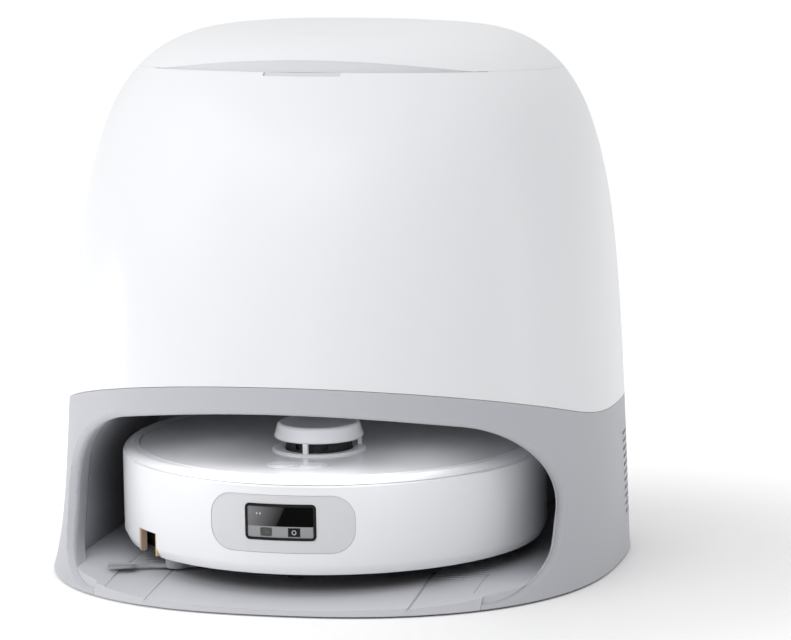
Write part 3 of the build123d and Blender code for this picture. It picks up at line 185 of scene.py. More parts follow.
@dataclass(frozen=True)
class Moulding:
    """An injection-moulded plastic or rubber finish.

    Attributes:
        name: Material name, after the real material.
        colour: Base colour as sRGB hex.
        roughness: Mean roughness of the surface.
        texture: How the tool surface was finished.
        tone: Strength of the slow change of colour over the piece.
        grain_mm: Size of the surface grain.
        bump: Strength of the grain's bump.
        coat: Weight of a clear gloss over the surface.
        ior: Refractive index of the polymer.
        metallic: One for plated metal.
    """

    name: str
    colour: str
    roughness: float
    texture: Texture
    tone: float
    grain_mm: float
    bump: float = 0.0
    coat: float = 0.0
    ior: float = 1.5
    metallic: float = 0.0

    def build(self) -> Material:
        """Makes the material.

        Returns:
            The finished material.
        """
        material, tree, shader = new_material(self.name, {
            "IOR": self.ior, "Metallic": self.metallic,
            "Coat Weight": self.coat, "Coat Roughness": COAT_ROUGHNESS,
        })
        place = add_node(tree, "ShaderNodeTexCoord").outputs["Object"]
        drift, grain = (
            add_node(
                tree, "ShaderNodeTexNoise", {"Vector": place, "Scale": 1 / size, "Detail": detail}
            ).outputs["Fac"]
            for size, detail in ((DRIFT_M, 2.0), (self.grain_mm * MM, 3.0))
        )
        base = srgb(self.colour)
        darker = tuple(c * (1 - self.tone) for c in base[:3]) + (1.0,)
        tree.links.new(blend(tree, drift, darker, base), shader.inputs["Base Color"])
        spread, depth = self.texture.value
        rough = ramp(tree, grain, 0.0, 1.0, self.roughness - spread, self.roughness + spread)
        tree.links.new(rough, shader.inputs["Roughness"])
        if depth:
            relief = {"Strength": self.bump, "Distance": depth * MM, "Height": grain}
            bump = add_node(tree, "ShaderNodeBump", relief)
            tree.links.new(bump.outputs["Normal"], shader.inputs["Normal"])
        return material


@dataclass(frozen=True)
class ReflectionPaintedWindow:
    """A smoked acrylic window with a painted reflection: light grey fading to dark grey up to a slanting
    edge, black beyond it.

    Attributes:
        name: Material name, after the real material.
        dark, near, far: sRGB hex beyond the edge, and of the painted reflection beside the edge and at its
            light end.
        edge_mm: Place across of the slanting edge at the foot and at the top of the window.
        span_mm: Height of that foot and top.
        reach_mm, blur_mm: Width of the painted reflection, and half of the width of the edge.
        roughness: Roughness of the polished face.
        ior: Refractive index, low because the face carries an anti-glare coat.
    """

    name: str
    dark: str
    near: str
    far: str
    edge_mm: tuple[float, float]
    span_mm: tuple[float, float]
    reach_mm: float
    blur_mm: float = 0.2
    roughness: float = 0.12
    ior: float = 1.12

    def build(self) -> Material:
        """Makes the material.

        Returns:
            The finished material.
        """
        material, tree, shader = new_material(self.name, {"IOR": self.ior, "Roughness": self.roughness})
        slant = (self.edge_mm[1] - self.edge_mm[0]) / (self.span_mm[1] - self.span_mm[0])
        edge = (self.edge_mm[0] - slant * self.span_mm[0]) * MM
        blur = self.blur_mm * MM
        place = add_node(tree, "ShaderNodeTexCoord").outputs["Object"]
        across = add_node(
            tree, "ShaderNodeVectorMath", {0: place, 1: (1, 0, -slant)}, operation="DOT_PRODUCT"
        ).outputs["Value"]
        fade = ramp(tree, across, edge - self.reach_mm * MM, edge)
        # Painted reflection: light grey at its far end, fading to dark grey at the slanting edge
        painted_reflection = blend(tree, fade, srgb(self.far), srgb(self.near))
        beyond_edge = ramp(tree, across, edge - blur, edge + blur)
        tree.links.new(blend(tree, beyond_edge, painted_reflection, srgb(self.dark)), shader.inputs["Base Color"])
        return material


Finish = Moulding | ReflectionPaintedWindow

# ABS moulded in a polished tool: a deep even gloss with the faintest change of tone
DOME_ABS = Moulding("gloss_white_abs", "#F4F5F8", 0.30, POLISHED, 0.012, 2.0)
# The lid's bevel is the same ABS, duller, and greyer as painted shade, so it reads as a soft shadow line
BEVEL_SHADED_ABS = Moulding("white_abs_painted_shade", "#DEDFE3", 0.45, SATIN, 0.012, 0.9, 0.05)
# ABS with a fine spark-eroded texture: soft broad highlights
GARAGE_ABS = Moulding("satin_grey_abs", "#C3C4CA", 0.48, SATIN, 0.03, 0.9, 0.10)
# The same polymer inside the garage, coarser and duller, and greyer than the shell as painted shade of the
# garage's inside
LINER_SHADED_ABS = Moulding("grey_abs_painted_shade", "#B2B3B8", 0.6, SPARKED, 0.05, 1.1, 0.20)
# Polypropylene tray: waxy and slightly mottled
TRAY_PP = Moulding("grey_polypropylene", "#CACBD1", 0.5, SATIN, 0.04, 1.2, 0.12)
# Robot casing: polished ABS with a tighter highlight than the dome
ROBOT_ABS = Moulding("gloss_robot_abs", "#F5F6F9", 0.26, POLISHED, 0.01, 2.0)
# Top cover: polished and lacquered, so it mirrors the dark garage
DECK_ABS = Moulding("lacquered_white_abs", "#F1F2F5", 0.22, POLISHED, 0.01, 2.0, coat=0.25)
# Pale grey panel and caster fork: a silky sheen
PANEL_ABS = Moulding("satin_panel_abs", "#DCDDE1", 0.34, SATIN, 0.01, 0.7, 0.06)
# Disc on the turret: a shade darker, so it stands out from its cap
DISC_ABS = Moulding("satin_disc_abs", "#C9CACE", 0.36, SATIN, 0.02, 0.7, 0.08)
# Strip under the sensor window: middle grey with a dull sheen
STRIP_ABS = Moulding("satin_strip_abs", "#999A9C", 0.4, SATIN, 0.02, 0.6, 0.08)
# Glass-filled nylon of the chassis: dull, with a visible grain
CHASSIS_NYLON = Moulding("glass_filled_nylon", "#3A3B3E", 0.6, SPARKED, 0.08, 0.7, 0.25)
# Frame and lens of the sensor window: near black with a sharp gloss
SENSOR_PC = Moulding("gloss_black_polycarbonate", "#050506", 0.14, POLISHED, 0.02, 1.0, ior=1.3)
# Smoked acrylic over a sensor, with a painted reflection: grey fading to dark up to a slanting edge, black
# beyond it
SENSOR_ACRYLIC_PAINTED_REFLECTION = ReflectionPaintedWindow(
    "acrylic_painted_reflection", "#040405", "#2A292B", "#8E8D91", (-3.0, 4.4), (65.0, 81.0), 33.0
)
# Tyres: dusty black with no gloss at all
TYRE_RUBBER = Moulding("tyre_rubber", "#232325", 0.75, SPARKED, 0.12, 0.6, 0.30)
# Feet and seals: black and a little smoother than the tyres
SEAL_RUBBER = Moulding("seal_rubber", "#1B1B1D", 0.68, SPARKED, 0.10, 0.5, 0.25)
# Fins of the main brush: dark grey with a soft rubbery sheen
BRUSH_TPE = Moulding("brush_elastomer", "#3D3F43", 0.55, SATIN, 0.08, 0.8, 0.15)
# Arms and filaments of the side brush: light grey with a slight lustre
BRISTLE_NYLON = Moulding("bristle_nylon", "#B2B3B6", 0.45, SATIN, 0.05, 0.4, 0.15)
# Water tanks and dust bin: smoky blue grey under a wet gloss
TANK_SAN = Moulding("smoked_styrene", "#7C858F", 0.12, POLISHED, 0.03, 2.0, coat=0.5)
# Tank caps: slate, waxy
CAP_PP = Moulding("slate_polypropylene", "#596067", 0.42, SATIN, 0.05, 0.8, 0.12)
# Motor, inlet and laser head: black with a fine matte grain
MOTOR_PBT = Moulding("black_pbt", "#1E1F22", 0.5, SPARKED, 0.08, 0.6, 0.20)
# Charging contacts: warm bright plating
NICKEL = Moulding("nickel_plate", "#C9C4B8", 0.22, SATIN, 0.03, 0.5, 0.05, ior=1.45, metallic=1.0)
# Screws and hinge pins: cold grey metal with a brushed highlight
STEEL = Moulding("ground_steel", "#B4B5B8", 0.3, SATIN, 0.03, 0.4, 0.08, ior=1.45, metallic=1.0)
# Shrink wrap of the battery: dark blue film with broad highlights
PACK_WRAP = Moulding("battery_wrap", "#2C3A44", 0.35, SATIN, 0.05, 1.5, 0.05)
# Microfibre: mottled grey that takes no highlight
CLOTH = Moulding("microfibre_pile", "#6E7278", 0.95, SPARKED, 0.18, 1.6, 0.8)
# Paper of the dust bag: off-white and fibrous
PAPER = Moulding("nonwoven_paper", "#D6D1C6", 0.9, SPARKED, 0.06, 1.2, 0.5)
# Card collar of the dust bag: pale, fibrous and quite matte
CARD = Moulding("grey_card", "#B9B4A8", 0.85, SPARKED, 0.10, 0.9, 0.40)
# Soft parts of the bumper notch: warm tan ribs and a paler edge
BRUSH_GUARD = Moulding("tan_elastomer", "#C9AE96", 0.5, SATIN, 0.06, 0.8, 0.12)
EDGE_TPE = Moulding("amber_elastomer", "#E0C48F", 0.45, SATIN, 0.06, 0.8, 0.10)
# Small optics: a dark lamp window, its milky lens, the lens ring, pale greenish grey as the lens's painted
# round highlight, and two unlit indicators
LAMP_PC = Moulding(
    "smoked_polycarbonate", "#262A29", 0.2, POLISHED, 0.03, 0.8, coat=0.3, ior=1.585
)
LAMP_FRESNEL = Moulding("milky_polycarbonate", "#474C4C", 0.35, SATIN, 0.05, 0.5, 0.10, ior=1.585)
RING_HIGHLIGHT_PC = Moulding("pale_ring_painted_highlight_pc", "#B9C6C8", 0.25, POLISHED, 0.03, 0.5, coat=0.2, ior=1.585)
INDICATOR = Moulding("white_light_guide", "#D9DADF", 0.4, SATIN, 0.03, 0.4, 0.05)
# Soft pale gasket of the lid, and dull greys that paint shade: in its finger notch and along the steps of
# the ramp's lanes
GASKET_TPE = Moulding("pale_gasket_elastomer", "#E8E9EC", 0.55, SATIN, 0.02, 0.8, 0.08)
LIP_SHADED_TPE = Moulding("lip_elastomer_painted_shade", "#DFE0E3", 0.55, SATIN, 0.04, 0.8, 0.10)
LANE_SHADE_PP = Moulding("lane_painted_shade_polypropylene", "#97989C", 0.55, SATIN, 0.04, 0.8, 0.10)
# Floor of the studio: plain white paper
FLOOR_PAPER = Moulding("pale_paper_floor", "#FFFFFF", 0.6, SATIN, 0.0, 4.0)

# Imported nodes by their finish
PLAIN: dict[Finish, tuple[str, ...]] = {
    DOME_ABS: ("upper_housing", "rear_panel", "lid_grip_insert", "top_lid"),
    GARAGE_ABS: ("lower_housing", "right_vent", "left_vent"),
    # Inside the garage: greyer than the shell as painted shade
    LINER_SHADED_ABS: ("garage_liner", "dust_duct", "tank_deck"),
    TRAY_PP: ("base_tray", "wash_board"),
    SEAL_RUBBER: ("base_feet", "dust_port_seal"),
    TANK_SAN: ("dirty_water_tank", "clean_water_tank", "dust_bin"),
    CAP_PP: ("dirty_tank_cap", "clean_tank_cap"),
    PAPER: ("dust_bag",),
    MOTOR_PBT: ("power_inlet", "suction_motor", "laser_head"),
    STEEL: ("lid_hinge_pins",),
    NICKEL: ("left_contact", "right_contact", "charging_plates"),
    ROBOT_ABS: (
        "rear_shell", "deck_ring", "button_plate", "turret_base", "turret_cap", "bumper",
        "power_button", "home_button",
    ),
    DECK_ABS: ("top_cover",),
    DISC_ABS: ("turret_disc",),
    PANEL_ABS: ("bumper_panel", "caster_fork"),
    STRIP_ABS: ("sensor_strip",),
    SENSOR_PC: ("sensor_frame", "camera_lens"),
    SENSOR_ACRYLIC_PAINTED_REFLECTION: ("sensor_glass",),
    CHASSIS_NYLON: (
        "robot_chassis", "brush_tunnel", "right_wheel_arm", "left_wheel_arm", "right_wheel_hub",
        "left_wheel_hub", "caster_wheel", "mop_carrier", "left_mop_plate", "right_mop_plate",
    ),
    PACK_WRAP: ("battery_pack",),
    TYRE_RUBBER: ("right_tyre", "left_tyre"),
    BRUSH_TPE: ("main_brush",),
    BRISTLE_NYLON: ("side_brush",),
    CLOTH: ("left_mop_pad", "right_mop_pad"),
}


@cache
def material_of(finish: Finish) -> Material:
    """Returns the material of a finish, made on first use."""
    return finish.build()


def dress(obj: Object, finish: Finish) -> None:
    """Gives an object one finish all over."""
    obj.data.materials.clear()
    obj.data.materials.append(material_of(finish))


def carry(obj: Object, finish: Optional[Finish], body: str, node: str = "") -> None:
    """Dresses a piece and lets a body carry it.

    Args:
        obj: The piece.
        finish: Its finish all over, or None where it has one already.
        body: The body that it rides on.
        node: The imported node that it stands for, if any.
    """
    if finish:
        dress(obj, finish)
    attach(obj, body)
    if node:
        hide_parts(node)
    LOG.info("made %s on %s", obj.name, body)


def link_mesh(name: str, mesh: Mesh) -> Object:
    """Puts a mesh in the scene as an object at the origin."""
    obj = bpy.data.objects.new(name, mesh)
    bpy.context.scene.collection.objects.link(obj)
    return obj


def finish_mesh(name: str, work: bmesh.types.BMesh, smooth: bool = True) -> Object:
    """Turns finished faces to an object at the origin, and frees them.

    Args:
        name: Name of the new object.
        work: The faces.
        smooth: Whether they are shaded smooth.

    Returns:
        The new object.
    """
    for face in work.faces:
        face.smooth = smooth
    mesh = bpy.data.meshes.new(name)
    work.to_mesh(mesh)
    work.free()
    return link_mesh(name, mesh)


def cad_copy(node: str, name: str) -> Object:
    """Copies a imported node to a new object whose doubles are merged.

    Args:
        node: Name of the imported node.
        name: Name of the new object.

    Returns:
        The new object, at the origin.
    """
    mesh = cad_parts[node].data.copy()
    mesh.name = name
    work = bmesh.new()
    work.from_mesh(mesh)
    bmesh.ops.remove_doubles(work, verts=work.verts, dist=0.002 * MM)
    work.to_mesh(mesh)
    work.free()
    return link_mesh(name, mesh)


def shade(obj: Object, choose: Callable[[Vector, Vector], Vector]) -> None:
    """Gives each corner of a mesh its own normal.

    Args:
        obj: A copy of a node whose doubles are merged.
        choose: Gives the normal, from the corner's place in millimetres and its face's normal.
    """
    mesh = obj.data
    normals = []
    for polygon in mesh.polygons:
        polygon.use_smooth = True
        for index in polygon.loop_indices:
            place = mesh.vertices[mesh.loops[index].vertex_index].co / MM
            normals.append(choose(place, polygon.normal.copy()))
    mesh.normals_split_custom_set(normals)


def lathe(
    name: str, outline: Sequence[tuple[float, float]], centre: Vector, steps: int
) -> Object:
    """Turns an outline about an upright axis.

    Args:
        name: Name of the new object.
        outline: Radius and height pairs from the lower to the upper end, in millimetres.
        centre: Foot of the axis, in millimetres.
        steps: Corners of each ring.

    Returns:
        The closed turned piece.
    """
    work = bmesh.new()
    rings = []
    for radius, height in outline:
        turns = [2 * math.pi * i / steps for i in range(steps if radius else 1)]
        spokes = [Vector((radius * math.cos(t), radius * math.sin(t), height)) for t in turns]
        rings.append([work.verts.new((centre + spoke) * MM) for spoke in spokes])
    for lower, upper in zip(rings, rings[1:]):
        for i in range(steps):
            j = (i + 1) % steps
            ends = ((lower, i), (lower, j), (upper, j), (upper, i))
            work.faces.new(list(dict.fromkeys(ring[k % len(ring)] for ring, k in ends)))
    bmesh.ops.recalc_face_normals(work, faces=work.faces)
    return finish_mesh(name, work)


def prism(
    name: str, outline: Sequence[Vector], sweep: Vector, soften_mm: float = 0.0, segments: int = 3
) -> Object:
    """Sweeps a flat outline in a straight line and rounds its edges.

    Args:
        name: Name of the new object.
        outline: Corners of the outline, in millimetres.
        sweep: Direction and length of the sweep, in millimetres.
        soften_mm: Radius of the rounded edges.
        segments: Faces across a rounded edge.

    Returns:
        The closed piece.
    """
    work = bmesh.new()
    lower = [work.verts.new(point * MM) for point in outline]
    upper = [work.verts.new((point + sweep) * MM) for point in outline]
    work.faces.new(lower)
    work.faces.new(upper[::-1])
    for i in range(len(outline)):
        j = (i + 1) % len(outline)
        work.faces.new([lower[j], lower[i], upper[i], upper[j]])
    bmesh.ops.recalc_face_normals(work, faces=work.faces)
    if soften_mm:
        bmesh.ops.bevel(
            work, geom=list(work.edges), offset=soften_mm * MM, segments=segments,
            profile=0.5, affect="EDGES",
        )
    return finish_mesh(name, work, False)


def closed_sheet(
    name: str, sides: tuple[float, float], levels: Sequence[float], steps: int,
    place: Callable[[float, float, float], Vector],
) -> Object:
    """Closes the room between two grids of points.

    Args:
        name: Name of the new object.
        sides: Value that stands for the face, and value that stands for the back.
        levels: Value that stands for each row.
        steps: Cells in a row.
        place: Gives a point in millimetres from its side, its level and its share along the row.

    Returns:
        The closed piece, smooth but for its edges.
    """
    work = bmesh.new()
    face, back = (
        [[work.verts.new(place(side, level, i / steps) * MM) for i in range(steps + 1)] for level in levels]
        for side in sides
    )
    top = len(levels) - 1
    for grid in (face, back):
        for i in range(top):
            for j in range(steps):
                work.faces.new([grid[i][j], grid[i][j + 1], grid[i + 1][j + 1], grid[i + 1][j]])
    border = [(0, j) for j in range(steps)] + [(i, steps) for i in range(top)]
    border += [(top, j) for j in range(steps, 0, -1)] + [(i, 0) for i in range(top, 0, -1)]
    for (i, j), (k, m) in zip(border, border[1:] + border[:1]):
        work.faces.new([face[i][j], face[k][m], back[k][m], back[i][j]])
    bmesh.ops.recalc_face_normals(work, faces=work.faces)
    sheet = finish_mesh(name, work)
    sheet.data.set_sharp_from_angle(angle=math.radians(35))
    return sheet


def screw_unit(name: str, radius: float, height: float) -> Object:
    """Builds one low pan-head screw with a cross recess.

    Args:
        name: Name of the object.
        radius: Radius of the head, in millimetres.
        height: Height of the head.

    Returns:
        The screw head with its foot just under Z zero.
    """
    outline = [
        (0.0, -0.4), (radius, -0.4), (radius, height * 0.4), (radius * 0.8, height * 0.86), (0.0, height)
    ]
    head = lathe(name, outline, ORIGIN, 24)
    work = bmesh.new()
    work.from_mesh(head.data)
    for turn in (0, math.pi / 2):
        bar = bmesh.ops.create_cube(work, size=1.0)["verts"]
        bmesh.ops.scale(work, verts=bar, vec=Vector((radius * 1.1, radius * 0.2, height * 0.2)) * MM)
        bmesh.ops.rotate(work, verts=bar, cent=ORIGIN, matrix=Matrix.Rotation(turn, 3, "Z"))
        bmesh.ops.translate(work, verts=bar, vec=(0, 0, height * 0.96 * MM))
    work.to_mesh(head.data)
    work.free()
    return head


@dataclass
class Repeater:
    """Geometry-node tool that sets copies of one small mesh on marked points.

    Attributes:
        name: Name of the node group.
        unit: The small mesh, built about its own origin with its foot on Z zero.
        spread: Share by which the copies differ in size.
        seed: Fixed seed of the sizes.
    """

    name: str
    unit: Object
    spread: float = 0.0
    seed: int = 7

    def group(self) -> NodeTree:
        """Builds the node group.

        Returns:
            The group with inputs Points, Unit, Finish, Smallest and Seed.
        """
        tree = bpy.data.node_groups.new(self.name, "GeometryNodeTree")
        sockets = {
            "Points": "Geometry", "Unit": "Object", "Finish": "Material", "Smallest": "Float", "Seed": "Int"
        }
        for label, kind in sockets.items():
            tree.interface.new_socket(label, in_out="INPUT", socket_type=f"NodeSocket{kind}")
        tree.interface.new_socket("Copies", in_out="OUTPUT", socket_type="NodeSocketGeometry")
        given = add_node(tree, "NodeGroupInput").outputs
        facing = add_node(
            tree, "GeometryNodeInputNamedAttribute", {"Name": "facing"}, data_type="FLOAT_VECTOR"
        )
        turn = add_node(
            tree, "FunctionNodeAlignRotationToVector", {"Vector": facing.outputs["Attribute"]}, axis="Z"
        )
        unit = add_node(tree, "GeometryNodeObjectInfo", {"Object": given["Unit"]})
        sizes = {2: given["Smallest"], 3: 1.0, "Seed": given["Seed"]}
        size = add_node(tree, "FunctionNodeRandomValue", sizes, data_type="FLOAT")
        copies = add_node(tree, "GeometryNodeInstanceOnPoints", {
            "Points": given["Points"], "Instance": unit.outputs["Geometry"],
            "Rotation": turn.outputs["Rotation"], "Scale": size.outputs[1],
        })
        solid = add_node(tree, "GeometryNodeRealizeInstances", {"Geometry": copies.outputs["Instances"]})
        dressed = add_node(tree, "GeometryNodeSetMaterial", {
            "Geometry": solid.outputs["Geometry"], "Material": given["Finish"],
        })
        add_node(tree, "NodeGroupOutput", {"Copies": dressed.outputs["Geometry"]})
        return tree

    def place(
        self, name: str, spots: Sequence[tuple[Vector, Vector]], finish: Finish
    ) -> Object:
        """Sets the copies and turns them to one plain mesh.

        Args:
            name: Name of the new object.
            spots: Place in millimetres and facing direction of each copy.
            finish: Finish of the copies.

        Returns:
            The plain mesh object, at the origin.
        """
        material = material_of(finish)
        marks = bpy.data.meshes.new(f"{name}_marks")
        marks.from_pydata([tuple(place * MM) for place, _ in spots], [], [])
        marks.attributes.new("facing", "FLOAT_VECTOR", "POINT")
        flat = [c for _, facing in spots for c in facing]
        marks.attributes["facing"].data.foreach_set("vector", flat)
        carrier = link_mesh(f"{name}_marks", marks)
        tree = self.group()
        tool = carrier.modifiers.new("repeat", "NODES")
        tool.node_group = tree
        values = {"Unit": self.unit, "Finish": material, "Smallest": 1 - self.spread, "Seed": self.seed}
        for item in tree.interface.items_tree:
            if item.in_out == "INPUT" and item.name in values:
                tool[item.identifier] = values[item.name]
        bpy.context.view_layer.update()
        graph = bpy.context.evaluated_depsgraph_get()
        mesh = bpy.data.meshes.new_from_object(carrier.evaluated_get(graph), depsgraph=graph)
        mesh.name = name
        if not mesh.materials:
            mesh.materials.append(material)
        carrier.modifiers.clear()
        bpy.data.objects.remove(carrier)
        bpy.data.objects.remove(self.unit)
        return link_mesh(name, mesh)


@dataclass(frozen=True)
class DomeShape:
    """Outline of the dock: half an ellipse in front, squarer behind, leaning back as it rises.

    Attributes:
        height: Height of the crown, in millimetres.
        half_width, front, rear: Reach from the plan's centre at the floor.
        taper: Share by which each of the three draws in over the height.
        crown: How late each of the three turns over to the crown.
        centre, lean: Place of the plan's centre at the floor, and its way back over the height.
        flare, skirt: Reach and height of the skirt in front.
        powers: Squareness of the plan in front, behind, and added in front at the floor.
        wall: Wall of the shell.
    """

    height: float = 440.0
    half_width: float = 235.0
    front: float = 225.0
    rear: float = 197.0
    taper: tuple[float, float, float] = (0.073, 0.069, 0.018)
    crown: tuple[float, float, float] = (4.94, 4.14, 6.0)
    centre: float = 18.0
    lean: float = 41.0
    flare: float = 8.46
    skirt: float = 70.0
    powers: tuple[float, float, float] = (2.0, 2.75, 0.4)
    wall: float = 3.5

    def level(self, place: Vector, inset: float) -> float:
        """Says where a point lies against the dome.

        Args:
            place: The point, in millimetres.
            inset: How far the dome is drawn in.

        Returns:
            A value under zero inside, zero on the skin and over zero outside.
        """
        rise = clamp(place.z / (self.height - inset), 0.0, 0.9995)
        spread = max(0.0, 1 - place.z / self.skirt) ** 2
        wide, front, rear = (
            (size - inset) * (1 - draw * rise) * (1 - rise ** power) ** (1 / power)
            for size, draw, power in zip((self.half_width, self.front, self.rear), self.taper, self.crown)
        )
        along = place.y - self.centre - self.lean * rise
        if along < 0:
            power, reach = self.powers[0] + self.powers[2] * spread, front + self.flare * spread
        else:
            power, reach = self.powers[1], rear - self.lean * rise
        return (abs(place.x) / wide) ** power + (abs(along) / reach) ** power - 1

    def normal(self, place: Vector, inset: float) -> Vector:
        """Finds the outward normal of the dome.

        Args:
            place: A point on the skin, in millimetres.
            inset: How far the dome is drawn in.

        Returns:
            The unit normal.
        """
        steps = [Vector(axis) * 0.4 for axis in ((1, 0, 0), (0, 1, 0), (0, 0, 1))]
        slope = Vector([self.level(place + s, inset) - self.level(place - s, inset) for s in steps])
        return slope.normalized()

    def shell_normal(self, place: Vector, facing: Vector) -> Vector:
        """Chooses the normal of the true curve where a face belongs to a skin of the shell.

        Args:
            place, facing: Corner of a face, in millimetres, and the face's normal.

        Returns:
            The outer or inner skin's normal, or the face's own.
        """
        chosen = facing
        for sign, inset in ((1, 0.0), (-1, self.wall)):
            curve = self.normal(place, inset) * sign
            if curve.dot(facing) > SAME_FACE and place.z < (self.height - inset) * BELOW_CROWN:
                chosen = curve
        return chosen

    def _crossing(
        self, inside: float, outside: float, inset: float, place: Callable[[float], Vector]
    ) -> float:
        """Finds where a line leaves the dome.

        Args:
            inside, outside: Places on the line in and out of the dome, in millimetres.
            inset: How far the dome is drawn in.
            place: Gives the point for a place on the line.

        Returns:
            The place on the line, at the skin.
        """
        for _ in range(40):
            middle = (inside + outside) / 2
            if self.level(place(middle), inset) < 0:
                inside = middle
            else:
                outside = middle
        return inside

    def back_y(self, x: float, z: float) -> float:
        """Returns the Y of the skin behind, at a place across and a height."""
        middle = self.centre + self.lean
        return self._crossing(middle, middle + self.rear, 0.0, lambda y: Vector((x, y, z)))

    def front_y(self, x: float, z: float, inset: float) -> float:
        """Returns the Y of the drawn-in skin in front, at a place across and a height."""
        far = self.centre - self.front - self.flare
        return self._crossing(self.centre + self.lean, far, inset, lambda y: Vector((x, y, z)))

    def side_x(self, y: float, z: float, inset: float) -> float:
        """Returns the X of the drawn-in skin on the right, at a place along and a height."""
        return self._crossing(0.0, self.half_width, inset, lambda x: Vector((x, y, z)))


@dataclass
class DockShell:
    """White dome, grey garage and the lid, shaded with the true curve of the dome.

    Attributes:
        shape: The dome's outline.
    """

    shape: DomeShape = DomeShape()

    def skins(self) -> None:
        """Replaces the shell nodes by copies with smooth shading."""
        for node, name, body, finish, slot in (
            ("upper_housing", "dome_skin", "dock", DOME_ABS, "dome_white"),
            ("lower_housing", "garage_skin", "dock", GARAGE_ABS, "garage_grey"),
            ("rear_panel", "rear_panel_skin", "dock", DOME_ABS, "dome_white"),
            ("top_lid", "lid_skin", "lid", DOME_ABS, "dome_white"),
        ):
            skin = cad_copy(node, name)
            shade(skin, self.shape.shell_normal)
            if node == "lower_housing":
                self._mouth_edge(skin.data)
            carry(skin, finish, body, node)

    def _mouth_edge(self, mesh: Mesh) -> None:
        """Shades the round of the garage mouth as a crisp edge, and on the left leg as a flat bevel.

        Args:
            mesh: The garage's skin, already smooth.
        """
        # The round's back end, its depth under the skin and the facing along that parts it from the wall
        back, depth, wall = -30.0, 5.3, 0.06
        # Shares of the turn from the skin to the wall that edge and bevel show
        crisp, bevel = 0.12, 0.66
        normals = [Vector(corner.vector) for corner in mesh.corner_normals]
        for polygon in mesh.polygons:
            middle, facing = polygon.center / MM, polygon.normal
            if middle.y > back or abs(facing.y) < wall or self.shape.level(middle, depth) < 0:
                continue
            out = self.shape.normal(middle, 0.0)
            side = (facing - out * facing.dot(out)).normalized()
            full = math.atan2(-out.y, side.y)
            # Faces at either end of the round keep their normals
            if 0.2 < out.angle(facing) < full - 0.1:
                ease = clamp((side.x - 0.2) / 0.6)
                turn = full * (crisp + (bevel - crisp) * ease * ease * (3 - 2 * ease))
                for index in polygon.loop_indices:
                    normals[index] = out * math.cos(turn) + side * math.sin(turn)
        mesh.normals_split_custom_set(normals)

    def screws(self) -> None:
        """Sets cross-head screws in the rear panel and under the tray."""
        spots = []
        for x, z in product((-93.0, 93.0), (217.0, 343.0)):
            place = Vector((x, self.shape.back_y(x, z), z))
            facing = self.shape.normal(place, 0.0)
            spots.append((place - facing * 0.2, facing))
        for x, y in product((-120.0, 0.0, 120.0), (-140.0, 120.0)):
            spots.append((Vector((x, y, 1.2)), DOWN))
        tool = Repeater("dock_screw_tool", screw_unit("dock_screw", 3.4, 0.7))
        carry(tool.place("dock_screws", spots, STEEL), None, "dock")


@dataclass
class LidTrim:
    """Thin trim between the dome and its lid.

    Attributes:
        shape: The dome's outline.
        front_z, front_y: Front of the parting plane, in millimetres.
        slope: Fall of the plane to the back, in degrees.
        gap: Height of the gap under the lid.
        brow_z, brow_radius: Top and radius of the arch in the lid's front edge.
        notch, notch_depth: Half of the width, and the depth, of the finger notch.
    """

    shape: DomeShape = DomeShape()
    front_z: float = 415.5
    front_y: float = -84.5
    slope: float = 4.3
    gap: float = 0.4
    brow_z: float = 424.0
    brow_radius: float = 734.1
    notch: float = 32.0
    notch_depth: float = 2.5

    def plane_z(self, y: float) -> float:
        """Returns the height of the parting plane at a place along."""
        return self.front_z - (y - self.front_y) * math.tan(math.radians(self.slope))

    def brow(self, x: float) -> float:
        """Returns the height of the lid's front edge at a place across."""
        return self.brow_z - self.brow_radius + math.sqrt(self.brow_radius ** 2 - x ** 2)

    def gasket(self) -> None:
        """Fills the gap under the lid's sides with a pale soft strip."""
        front, length = -28.0, 176.0
        for side, name in SIDES:
            def place(lift: float, inset: float, share: float) -> Vector:
                """Gives a point of the strip at a share of its gap, a depth and a share along."""
                y = front + length * share
                z = self.plane_z(y) + self.gap * lift
                return Vector((side * self.shape.side_x(y, z, inset), y, z))

            strip = closed_sheet(f"{name}_lid_gasket", (0.96, 0.04), (0.04, 3.2), 48, place)
            carry(strip, GASKET_TPE, "dock")

    def bevel(self) -> None:
        """Leads the arch of the lid's front edge back to the parting plane in a thin slanting face."""
        half_width, shallow, deep = 132.0, 0.25, 3.1

        def place(deeper: float, rise: float, share: float) -> Vector:
            """Gives a point of the bevel at a depth, a share of its height and a share across."""
            across = 2 * share - 1
            x, y = half_width * across, self.front_y
            depth = shallow + deep * (1 - across ** 2) ** 0.7
            inset = 0.1 + (depth - 0.1) * (1 - rise) ** 0.9 + deeper
            for _ in range(4):
                foot = self.plane_z(y) + 0.05
                z = foot + max(self.brow(x) - 0.04 - foot, 0.02) * rise
                y = self.shape.front_y(x, z, inset)
            return Vector((x, y, z))

        bevel = closed_sheet("lid_bevel", (0.0, 0.6), (0.0, 0.25, 0.5, 0.75, 1.0), 96, place)
        # The bevel's finish is greyer than the dome's white: painted shade under the lid's edge
        carry(bevel, BEVEL_SHADED_ABS, "lid")

    def lip(self) -> None:
        """Closes the finger notch with a lip behind the dome's face, grey as painted shade in the notch."""
        def place(inset: float, rise: float, share: float) -> Vector:
            """Gives a point of the lip at a depth, a share of its height and a share across."""
            x = (self.notch - 0.1) * (2 * share - 1)
            z = self.front_z - self.notch_depth * (0.99 - 0.85 * rise)
            return Vector((x, self.shape.front_y(x, z, inset), z))

        lip = closed_sheet("notch_lip", (1.6, 3.4), (0.0, 1.0), 32, place)
        # The lip's grey is painted shade in the finger notch
        carry(lip, LIP_SHADED_TPE, "dock")


